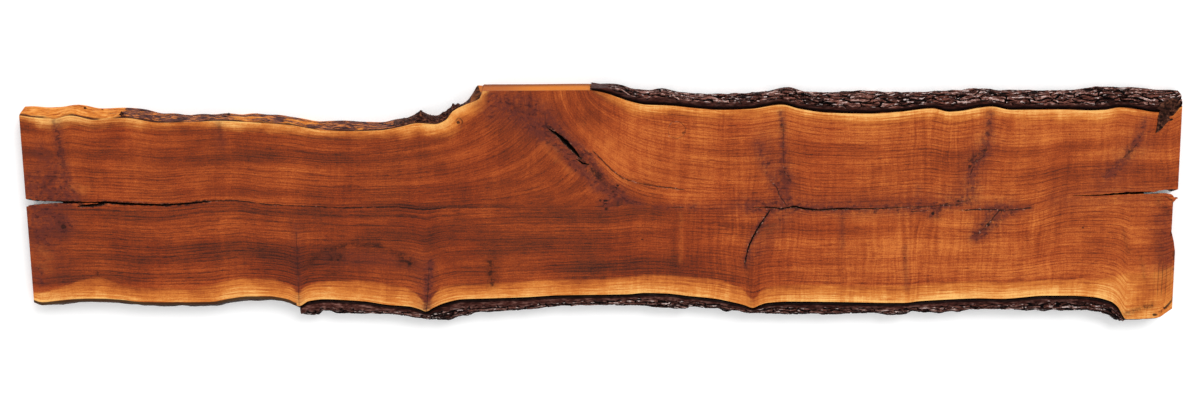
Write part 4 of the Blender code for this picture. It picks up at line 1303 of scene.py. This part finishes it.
# The outer side from its sawn top to its foot: (height, share of the width left out)
UPPER_BARK_SIDE = (
    (0.007, 0.05), (0.018, 0.0), (0.030, 0.06), (0.041, 0.20), (0.050, 0.40), (0.0548, 0.56),
)
LOWER_BARK_SIDE = (
    (0.007, -0.03), (0.019, -0.05), (0.033, 0.0), (0.043, 0.08), (0.050, 0.30), (0.0548, 0.62),
)
BARK_TOP = 0.0548
BARK_LOW = 0.007
BARK_FOOT = 0.002
FOOT_INSET = 0.0015
# The least it may be thick, how wavy it is, the groove along the wood and the gaps behind it
BARK_LEAST = 0.0045
BARK_RIPPLE = 0.0022
BARK_GROOVE = 0.003
BARK_GAP = 0.0006
INNER_GAP = 0.0006
PLATE_LONG = 0.050
PLATE_HIGH = 0.0096
# How deep the furrows are, how much the plates differ and tilt, and how rough their skin is
FURROW_DEPTH = 0.0038
PLATE_STEP = 0.0028
PLATE_TILT = 0.0015
PLATE_SKIN = 0.0004
BARK_CREASE = math.radians(60)
SIDE_POINTS = 52
BAND_POINTS = 12
INNER_POINTS = 7
# How much of the width is the sawn band, and how rosy that band is, along the board
UPPER_BAND = (
    (0.040, 0.50), (0.200, 0.50), (0.330, 0.42), (0.400, 0.24), (0.500, 0.26), (0.620, 0.16),
    (0.750, 0.30), (0.850, 0.22), (1.200, 0.22),
)
LOWER_BAND = (
    (-0.634, 0.60), (-0.450, 0.45), (-0.380, 0.20), (-0.300, 0.35), (-0.100, 0.50), (0.050, 0.30),
    (0.200, 0.26), (0.300, 0.22), (0.600, 0.34), (0.900, 0.28), (1.110, 0.24),
)
UPPER_ROSY = ((0.000, 0.20), (0.300, 0.25), (0.500, 0.15), (1.200, 0.15))
LOWER_ROSY = (
    (-0.634, 0.90), (-0.450, 0.80), (-0.380, 0.25), (-0.340, 0.15), (-0.280, 0.50), (0.000, 0.60),
    (0.250, 0.55), (0.400, 0.30), (0.700, 0.55), (0.900, 0.35), (1.110, 0.25),
)


def plates(s, q, seed):
    """Bark plates over a surface: each place's way to a furrow, its plate's draw and its tilt."""
    a = s / PLATE_LONG + 0.10 * ripple(s, q, 0.050, 0.022, seed + 1)
    b = q / PLATE_HIGH + 0.26 * ripple(s, q, 0.060, 0.030, seed + 2)
    a = a + 0.5 * (np.floor(b) % 2)
    size = 256
    table = np.random.default_rng(seed).uniform(size=(3, size, size))
    cell_a, cell_b = np.floor(a).astype(int), np.floor(b).astype(int)
    first, second = np.full((3, *a.shape), 9.0), np.full((3, *a.shape), 9.0)
    draw = np.zeros(a.shape)
    for step_a in (-1, 0, 1):
        for step_b in (-1, 0, 1):
            i, j = (cell_a + step_a) % size, (cell_b + step_b) % size
            off_a = cell_a + step_a + 0.15 + 0.7 * table[0, i, j] - a
            off_b = cell_b + step_b + 0.32 + 0.36 * table[1, i, j] - b
            this = np.stack([np.hypot(off_a, off_b), off_a, off_b])
            nearest = this[0] < first[0]
            second = np.where(nearest, first, np.where(this[0] < second[0], this, second))
            first = np.where(nearest, this, first)
            draw = np.where(nearest, table[2, i, j], draw)
    steep = np.hypot((second[1] - first[1]) / PLATE_LONG, (second[2] - first[2]) / PLATE_HIGH)
    return (second[0] ** 2 - first[0] ** 2) / 2 / steep, draw, first[2] + 0.5 * first[1]


def bark_strip(name, upper, step, start, end, seed):
    """One strip of bark: its section at each place, with the plates raised on its outer side."""
    way = 1 if upper else -1
    places = np.arange(start, end, step)
    if upper:
        places = np.append(places, RIGHT_END[0])
    x = places[:, None]
    face = wall(upper, x, THICKNESS)
    width = (smooth_through(UPPER_BARK if upper else LOWER_BARK, x) - face) * way
    sawn = 1 - fade(x, 0.005, 0.045) if upper else 0.0 * x
    z = np.linspace(BARK_TOP, BARK_LOW, SIDE_POINTS)[None, :]
    left_out = smooth_through(UPPER_BARK_SIDE if upper else LOWER_BARK_SIDE, z)
    calm = fade(z, 0.014, 0.034) if upper else 1 - fade(z, 0.026, 0.040)
    uneven = BARK_RIPPLE * (0.3 + 0.7 * calm) * (1 - sawn)
    uneven = uneven * ripple(x, z, 0.055, 0.030, 21 if upper else 22)
    out = width * (1 - left_out * (1 - sawn)) + uneven * np.minimum(1, width / 0.02)
    least = (wall(upper, x, z) - face) * way + BARK_GAP + BARK_LEAST * (0.6 + 0.4 * (z < 0.05))
    side_y = np.maximum(out, least)
    side_z = np.broadcast_to(z, side_y.shape)
    inner_z = np.linspace(THICKNESS - BARK_GROOVE, BARK_FOOT, INNER_POINTS)[None, :]
    inner_y = (wall(upper, x, inner_z) - face) * way + BARK_GAP + INNER_GAP
    lip = np.minimum(BARK_GROOVE, 0.4 * np.abs(side_y[:, :1] - inner_y[:, :1]))
    rim_y = inner_y[:, :1] + lip
    across = np.linspace(0, 1, BAND_POINTS + 1)[None, :-1]
    band_y = rim_y + across * (side_y[:, :1] - rim_y)
    band_z = np.broadcast_to(THICKNESS + across * (BARK_TOP - THICKNESS), band_y.shape)
    foot_y = side_y[:, -1:] - FOOT_INSET
    out_y = np.concatenate([band_y, side_y, foot_y], axis=1)
    out_z = np.concatenate([band_z, side_z, np.full(foot_y.shape, BARK_FOOT)], axis=1)
    steps = np.hypot(np.diff(out_y), np.diff(out_z))
    along_q = np.concatenate([np.zeros(x.shape), np.cumsum(steps, axis=1)], axis=1)
    normal_y = -np.gradient(out_z, axis=1)
    normal_z = np.gradient(out_y, axis=1)
    size = np.hypot(normal_y, normal_z)
    s = np.broadcast_to(x, out_y.shape)
    apart, draw, tilt = plates(s, along_q, seed)
    ridge = fade(apart, 0.0005, 0.0024)
    band = width * smooth_through(UPPER_BAND if upper else LOWER_BAND, x)
    ragged_band = band * (1 + 0.25 * ripple(x, 0, 0.020, 1, seed + 3)) - 0.001
    rough = fade(along_q, ragged_band * 0.8, ragged_band * 1.15 + 0.002) * (1 - sawn)
    relief = FURROW_DEPTH * (ridge - 1) + PLATE_STEP * (draw - 0.8) + PLATE_TILT * tilt
    relief = relief + PLATE_SKIN * ripple(s, along_q, 0.007, 0.004, seed + 5)
    thick = np.minimum(1, np.maximum(out_y - inner_y[:, :1], 0.004) / 0.012)
    lift = relief * rough * thick * np.minimum(1, width / 0.016)
    lift = lift * (0.45 + 0.55 * fade(out_z, 0.014, 0.034))
    lift[:, -1:] *= 0.3
    moved_y = out_y + lift * normal_y / size
    moved_z = np.clip(out_z + lift * normal_z / size, 0.0015, THICKNESS)
    ring_y = np.concatenate([moved_y, inner_y[:, ::-1]], axis=1)
    ring_z = np.concatenate([moved_z, np.broadcast_to(inner_z[:, ::-1], inner_y.shape)], axis=1)
    ring_y = face + way * ring_y
    ring_x = np.repeat(x, ring_y.shape[1], axis=1)
    if upper:
        ring_x[-1] = RIGHT_END[0] + RIGHT_END[1] * ring_y[-1]
    within = np.clip(ring_y - CENTRE_Y, cad_low[1], cad_high[1])
    rings = np.stack([ring_x - CENTRE_X, within, ring_z], axis=2)
    strip = wrapped_grid(name, rings)
    inside = np.zeros(inner_y.shape)
    rosy = smooth_through(UPPER_ROSY if upper else LOWER_ROSY, x)
    looks = {
        "height": (ridge, inside),
        "plate": (draw, inside),
        "rosy": (np.broadcast_to(rosy, out_y.shape), inside),
        "groove": (1 - fade(along_q, 0.0010, 0.0045), inside + 1),
        "rough": (rough, inside + 1),
        "section": (np.broadcast_to(sawn, out_y.shape), inside),
    }
    # Each vertex is found again by its place, because the grid was merged
    rows = [np.round(co, 6).astype(np.float32) for co in (rings.reshape(-1, 3), points_of(strip))]
    key = {tuple(p): n for n, p in enumerate(rows[0].tolist())}
    order = [key.get(tuple(p), 0) for p in rows[1].tolist()]
    for label, sides in looks.items():
        write(strip, label, np.concatenate(sides, axis=1).reshape(-1)[order])
    bpy.ops.object.shade_smooth_by_angle(angle=BARK_CREASE)
    return strip


PLATE_COLOURS = (
    (0.14, 0.004, 0.002, 0.002), (0.36, 0.026, 0.009, 0.007), (0.56, 0.105, 0.036, 0.027),
    (0.76, 0.280, 0.130, 0.100), (0.96, 0.600, 0.430, 0.390),
)
SAWN_BARK_COLOURS = (
    (0.34, 0.004, 0.0010, 0.0008), (0.54, 0.018, 0.0040, 0.0030), (0.72, 0.085, 0.022, 0.015),
)
ROSY_COLOURS = (
    (0.34, 0.012, 0.004, 0.003), (0.50, 0.078, 0.023, 0.017), (0.64, 0.260, 0.120, 0.095),
)
SECTION_COLOURS = ((0.40, 0.020, 0.0038, 0.0028), (0.68, 0.110, 0.028, 0.020))
RED_BARK = (0.170, 0.052, 0.034, 1)
LOW_SIDE_SHADE = (0.006, 0.003, 0.003, 1)
PAINTED_GLINT = (0.760, 0.590, 0.550, 1)
FURROW_SHADE = (0.003, 0.002, 0.002, 1)
GROOVE_SHADE = (0.003, 0.001, 0.001, 1)
BARK_BUMP = 0.0007
bark_finish, tree, shader, where, (x, y, z) = new_finish("walnut bark")
flakes = stretched(tree, where, (0.32, 1.0, 1.0))
flaky = noise(tree, flakes, scale=190.0, detail=5.0, rough=0.70)
body = added(tree, -1.07, (flaky, 2.70), (attribute(tree, "plate"), 0.40))
plate_colour = colours(tree, body, PLATE_COLOURS)
red = times(
    tree,
    ramp(tree, noise(tree, where, scale=26.0), 0.44, 0.62),
    ramp(tree, flaky, 0.40, 0.60, 0.1, 0.7),
)
plate_colour = mixed(tree, red, plate_colour, RED_BARK)
# Painted shade: the lower strip is darkened below its sawn top, as it hangs over its own shadow
low_side_shade = ramp(tree, y, -0.05, 0.05, 1.0, 0.0)
low_side_shade = times(tree, low_side_shade, ramp(tree, z, 0.0415, 0.0500, 0.92, 0.22))
plate_colour = mixed(tree, low_side_shade, plate_colour, LOW_SIDE_SHADE)
# Painted highlights: bright specks in the plates' colour that stand in for glints of light
painted_glint = ramp(tree, noise(tree, flakes, scale=210.0, detail=3.0), 0.600, 0.655)
plate_colour = mixed(tree, times(tree, painted_glint, 0.75), plate_colour, PAINTED_GLINT)
# Painted shade: the furrows between the plates are coloured near black
high = ramp(tree, attribute(tree, "height"), 0.35, 0.85)
rough_colour = mixed(tree, high, FURROW_SHADE, plate_colour)
# The sawn band, its rosy stretches, and the sawn section at its left end
layers = noise(tree, stretched(tree, where, (60.0, 420.0, 420.0)))
sawn_colour = mixed(
    tree, attribute(tree, "rosy"),
    colours(tree, layers, SAWN_BARK_COLOURS),
    colours(tree, flaky, ROSY_COLOURS),
)
section_colour = colours(tree, flaky, SECTION_COLOURS)
sawn_colour = mixed(tree, times(tree, attribute(tree, "section"), 0.8), sawn_colour, section_colour)
colour = mixed(tree, attribute(tree, "rough"), sawn_colour, rough_colour)
# Painted shade: the groove between the bark and the wood, and the bark's inner side, coloured black
colour = mixed(tree, times(tree, attribute(tree, "groove"), 0.9), colour, GROOVE_SHADE)
rough = ramp(tree, flaky, 0.35, 0.65, 0.60, 0.34)
set_surface(tree, shader, colour, rough, 0.03, flaky, 0.8, BARK_BUMP)

upper_bark = bark_strip("upper_bark", True, 0.00120, -0.018, 1.1955, 61)
lower_bark = bark_strip("lower_bark", False, 0.00155, -0.634, 1.110, 75)
for strip, cad_node in ((upper_bark, "bark_upper"), (lower_bark, "bark_lower")):
    coat(strip, bark_finish)
    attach(strip, "root")
    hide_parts(cad_node)

# Near the sawn right end, over the corner of the face: a thick scale of bark that came loose, and
# below it a long thin dark sheet shaped like a leaf. The thick one is a flake of the bark itself,
# held by its fibres. The leaf is painted shadow: a dark sheet where the bark above casts its shade.
LEAF_SHADOW = (
    (1.1575, 0.1900), (1.1568, 0.1830), (1.1545, 0.1715), (1.1552, 0.1690), (1.1540, 0.1530),
    (1.1522, 0.1432), (1.1590, 0.1470), (1.1668, 0.1548), (1.1706, 0.1612), (1.1788, 0.1700),
    (1.1850, 0.1700), (1.1870, 0.1722), (1.1850, 0.1745), (1.1800, 0.1735), (1.1780, 0.1790),
    (1.1860, 0.1800), (1.1910, 0.1860), (1.1930, 0.1950), (1.1700, 0.1960),
)
THICK_SCALE = (
    (1.1500, 0.1960), (1.1640, 0.1900), (1.1790, 0.1900), (1.1850, 0.1850), (1.1905, 0.1880),
    (1.1960, 0.1950), (1.1985, 0.2100), (1.1900, 0.2200), (1.1740, 0.2160), (1.1600, 0.2080),
)


LEAF_SHADOW_THICKNESS = 0.0012
THICK_SCALE_THICKNESS = 0.0050
SCALE_LIFT = 0.0003
SCALE_DENT = 0.5
SCALE_CREASE = math.radians(30)
SCALE_AND_SHADOW_COLOURS = (
    (0.38, 0.009, 0.003, 0.002), (0.52, 0.040, 0.013, 0.008), (0.68, 0.130, 0.048, 0.026),
)


def ragged_sheet(name, outline, thick, seed):
    """A sheet with a ragged outline, extruded to its thickness and roughened on top."""
    bpy.ops.object.select_all(action="DESELECT")
    bpy.ops.mesh.primitive_circle_add(vertices=len(outline), radius=1, fill_type="NGON")
    flake = bpy.context.object
    flake.name = name
    for vertex, (x, y) in zip(flake.data.vertices, outline):
        vertex.co = (x - CENTRE_X, y - CENTRE_Y, THICKNESS + SCALE_LIFT)
    bpy.ops.object.mode_set(mode="EDIT")
    bpy.ops.mesh.select_all(action="SELECT")
    bpy.ops.mesh.normals_make_consistent(inside=False)
    bpy.ops.mesh.extrude_region_move(TRANSFORM_OT_translate={"value": (0, 0, thick)})
    bpy.ops.mesh.select_all(action="SELECT")
    bpy.ops.mesh.normals_make_consistent(inside=False)
    bpy.ops.mesh.quads_convert_to_tris()
    bpy.ops.mesh.subdivide(number_cuts=3, fractal=0.0)
    bpy.ops.object.mode_set(mode="OBJECT")
    draw = np.random.default_rng(seed)
    for vertex in flake.data.vertices:
        if vertex.co.z > THICKNESS + SCALE_LIFT + 0.5 * thick:
            vertex.co.z += thick * SCALE_DENT * (draw.uniform() - 0.3)
    bpy.ops.object.shade_smooth_by_angle(angle=SCALE_CREASE)
    return flake


# The thick scale and the leaf of painted shadow share one dark finish
scale_and_shadow_finish = bark_finish.copy()
scale_and_shadow_finish.name = "bark scale and painted shadow"
tree = scale_and_shadow_finish.node_tree
tint = noise(tree, node(tree, "TexCoord").outputs["Object"], scale=160.0, detail=3.0)
join(tree, tree.nodes["Principled BSDF"], {
    "Base Color": colours(tree, tint, SCALE_AND_SHADOW_COLOURS), "Specular IOR Level": 0.05,
})
leaf_shadow = ragged_sheet("leaf_shadow", LEAF_SHADOW, LEAF_SHADOW_THICKNESS, 91)
thick_scale = ragged_sheet("thick_scale", THICK_SCALE, THICK_SCALE_THICKNESS, 92)
for flake in (leaf_shadow, thick_scale):
    coat(flake, scale_and_shadow_finish)
    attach(flake, "root")

# A ragged fringe of inner bark along the hollow below the limb, black and torn, and four stubs of
# it further left. They are what was left when the bark was pried off with a bar.
FRINGE = (
    (-0.4300, 0.0006), (-0.4160, 0.0014), (-0.4090, 0.0038), (-0.4050, 0.0016), (-0.3960, 0.0036),
    (-0.3880, 0.0020), (-0.3800, 0.0050), (-0.3740, 0.0105), (-0.3690, 0.0060), (-0.3600, 0.0035),
    (-0.3480, 0.0042), (-0.3380, 0.0030), (-0.3290, 0.0068), (-0.3230, 0.0040), (-0.3170, 0.0085),
    (-0.3110, 0.0060), (-0.3060, 0.0092), (-0.3010, 0.0050), (-0.2960, 0.0066), (-0.2900, 0.0022),
    (-0.2800, 0.0012), (-0.2680, 0.0008),
)
FRINGE_STEP = 0.0009
FRINGE_POINTS = 22
FRINGE_TOP = 0.0505
FRINGE_RAGS = 0.0035
FRINGE_FOOT = 0.006
FRINGE_SUNK = 0.0006
FRINGE_LEAST = 0.0008
FRINGE_CREASE = math.radians(40)


def bark_fringe(name, seed):
    """A layer on the wall, as thick at each place as the fringe stands out, with a ragged top."""
    x = np.arange(FRINGE[0][0], FRINGE[-1][0], FRINGE_STEP)[:, None]
    top = FRINGE_TOP - FRINGE_RAGS * (1 + ripple(x, 0, 0.012, 1, seed))
    z = top + (FRINGE_FOOT - top) * np.linspace(0, 1, FRINGE_POINTS)[None, :]
    inner = wall(True, x, z) - FRINGE_SUNK
    down = (top - z) / (top - FRINGE_FOOT)
    shape = fade(down, -0.10, 0.22) * (1 - 0.5 * fade(down, 0.4, 1.0))
    rough = 1 + 0.28 * ripple(x, z, 0.006, 0.006, seed + 1)
    rough = rough + 0.20 * ripple(x, z, 0.0025, 0.003, seed + 2)
    out = inner + FRINGE_LEAST + smooth_through(FRINGE, x) * shape * rough
    rings_y = np.concatenate([out, inner[:, ::-1]], axis=1)
    rings_z = np.concatenate([z, z[:, ::-1]], axis=1)
    rings_x = np.repeat(x, rings_y.shape[1], axis=1)
    layer = wrapped_grid(name, np.stack([rings_x - CENTRE_X, rings_y - CENTRE_Y, rings_z], axis=2))
    bpy.ops.object.shade_smooth_by_angle(angle=FRINGE_CREASE)
    return layer


# Stubs: (along, height, radius, how far out)
STUBS = (
    (-0.992, 0.044, 0.0085, 0.0130), (-1.075, 0.014, 0.0050, 0.0060),
    (-1.040, 0.010, 0.0030, 0.0040), (-0.776, 0.012, 0.0060, 0.0050),
)
STUB_DENT = 0.06
STUB_LEAN = math.radians(-58)
STUB_OUT = 0.30
FIRST_STUB_SEED = 95


def bark_stub(name, along, height, radius, far, seed):
    """A four-sided spike that leans up out of the wall, a little twisted and dented."""
    bpy.ops.object.select_all(action="DESELECT")
    bpy.ops.mesh.primitive_cone_add(vertices=4, radius1=radius, depth=far, end_fill_type="NGON")
    stub = bpy.context.object
    stub.name = name
    bpy.ops.object.mode_set(mode="EDIT")
    bpy.ops.mesh.select_all(action="SELECT")
    bpy.ops.mesh.quads_convert_to_tris()
    bpy.ops.mesh.subdivide(number_cuts=3, smoothness=0.0)
    bpy.ops.object.mode_set(mode="OBJECT")
    draw = np.random.default_rng(seed)
    for vertex in stub.data.vertices:
        vertex.co.x += STUB_DENT * radius * draw.uniform(-1, 1)
        vertex.co.y += STUB_DENT * radius * draw.uniform(-1, 1)
    stub.rotation_euler = (STUB_LEAN, 0, 0)
    out = float(wall(True, np.array(along), np.array(height))) + STUB_OUT * far
    stub.location = (along - CENTRE_X, out - CENTRE_Y, height)
    bpy.ops.object.transform_apply(location=True, rotation=True, scale=True)
    bpy.ops.object.shade_smooth_by_angle(angle=SCALE_CREASE)
    return stub


SHRED_COLOURS = (
    (0.36, 0.006, 0.002, 0.002), (0.50, 0.036, 0.011, 0.008), (0.60, 0.130, 0.042, 0.024),
    (0.72, 0.420, 0.170, 0.080),
)
SHRED_BUMP = 0.0008
torn_bark, tree, shader, where, _ = new_finish("torn inner bark")
shreds = stretched(tree, where, (0.5, 1.0, 1.0))
shreds = noise(tree, shreds, scale=190.0, detail=4.0, rough=0.65)
colour = colours(tree, shreds, SHRED_COLOURS)
set_surface(tree, shader, colour, 0.5, 0.03, shreds, 0.8, SHRED_BUMP)
leftovers = [bark_fringe("bark_fringe", 93)]
for number, (along, height, radius, far) in enumerate(STUBS):
    seed = FIRST_STUB_SEED + number
    leftovers.append(bark_stub(f"bark_stub_{number + 1}", along, height, radius, far, seed))
for piece in leftovers:
    coat(piece, torn_bark)
    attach(piece, "root")

# The floor: a pale matt sheet of paper that the board lies on. It glows a little, as paper does
# with light coming through it.
FLOOR_SIZE = 14.0
FLOOR_TOP = -0.0005
bpy.ops.object.select_all(action="DESELECT")
bpy.ops.mesh.primitive_plane_add(size=FLOOR_SIZE, location=(0, 0, FLOOR_TOP))
floor = bpy.context.object
floor.name = "floor"
paper = bpy.data.materials.new("pale floor")
paper.use_nodes = True
join(paper.node_tree, paper.node_tree.nodes["Principled BSDF"], {
    "Base Color": (0.95, 0.95, 0.95, 1), "Emission Color": (1, 1, 1, 1), "Emission Strength": 0.16,
    "Roughness": 0.9, "Specular IOR Level": 0.1,
})
coat(floor, paper)
floor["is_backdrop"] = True

# The light: an even white room, and one broad lamp above the far right that gives the bark its
# relief
ROOM_LIGHT = 0.78
LAMP_LIGHT = 1.45
LAMP_SPREAD = math.radians(24)
LAMP_LEAN = (math.radians(-35), math.radians(20), 0)
world = bpy.data.worlds.new("room")
bpy.context.scene.world = world
world.use_nodes = True
join(world.node_tree, world.node_tree.nodes["Background"], {
    "Color": (1, 1, 1, 1), "Strength": ROOM_LIGHT,
})
lamp_data = bpy.data.lights.new("lamp", "SUN")
lamp_data.energy = LAMP_LIGHT
lamp_data.angle = LAMP_SPREAD
lamp = bpy.data.objects.new("lamp", lamp_data)
bpy.context.scene.collection.objects.link(lamp)
lamp.rotation_euler = LAMP_LEAN

# The camera: straight over the board, leaning 14 degrees from the limb's side
CAMERA_LEAN = math.radians(14)
CAMERA_FAR = 4.8
LENS_IN_PIXELS = 2297
PHOTO_WIDTH = 1200
FILM_WIDTH = 36
camera_data = bpy.data.cameras.new("camera")
camera_data.sensor_width = FILM_WIDTH
camera_data.lens = LENS_IN_PIXELS * camera_data.sensor_width / PHOTO_WIDTH
camera = bpy.data.objects.new("camera", camera_data)
bpy.context.scene.collection.objects.link(camera)
camera.location = (
    -CENTRE_X,
    -CENTRE_Y + CAMERA_FAR * math.sin(CAMERA_LEAN),
    THICKNESS + CAMERA_FAR * math.cos(CAMERA_LEAN),
)
camera.rotation_euler = (-CAMERA_LEAN, 0, 0)
bpy.context.scene.camera = camera
bpy.context.scene.view_settings.view_transform = "Standard"

low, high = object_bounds()
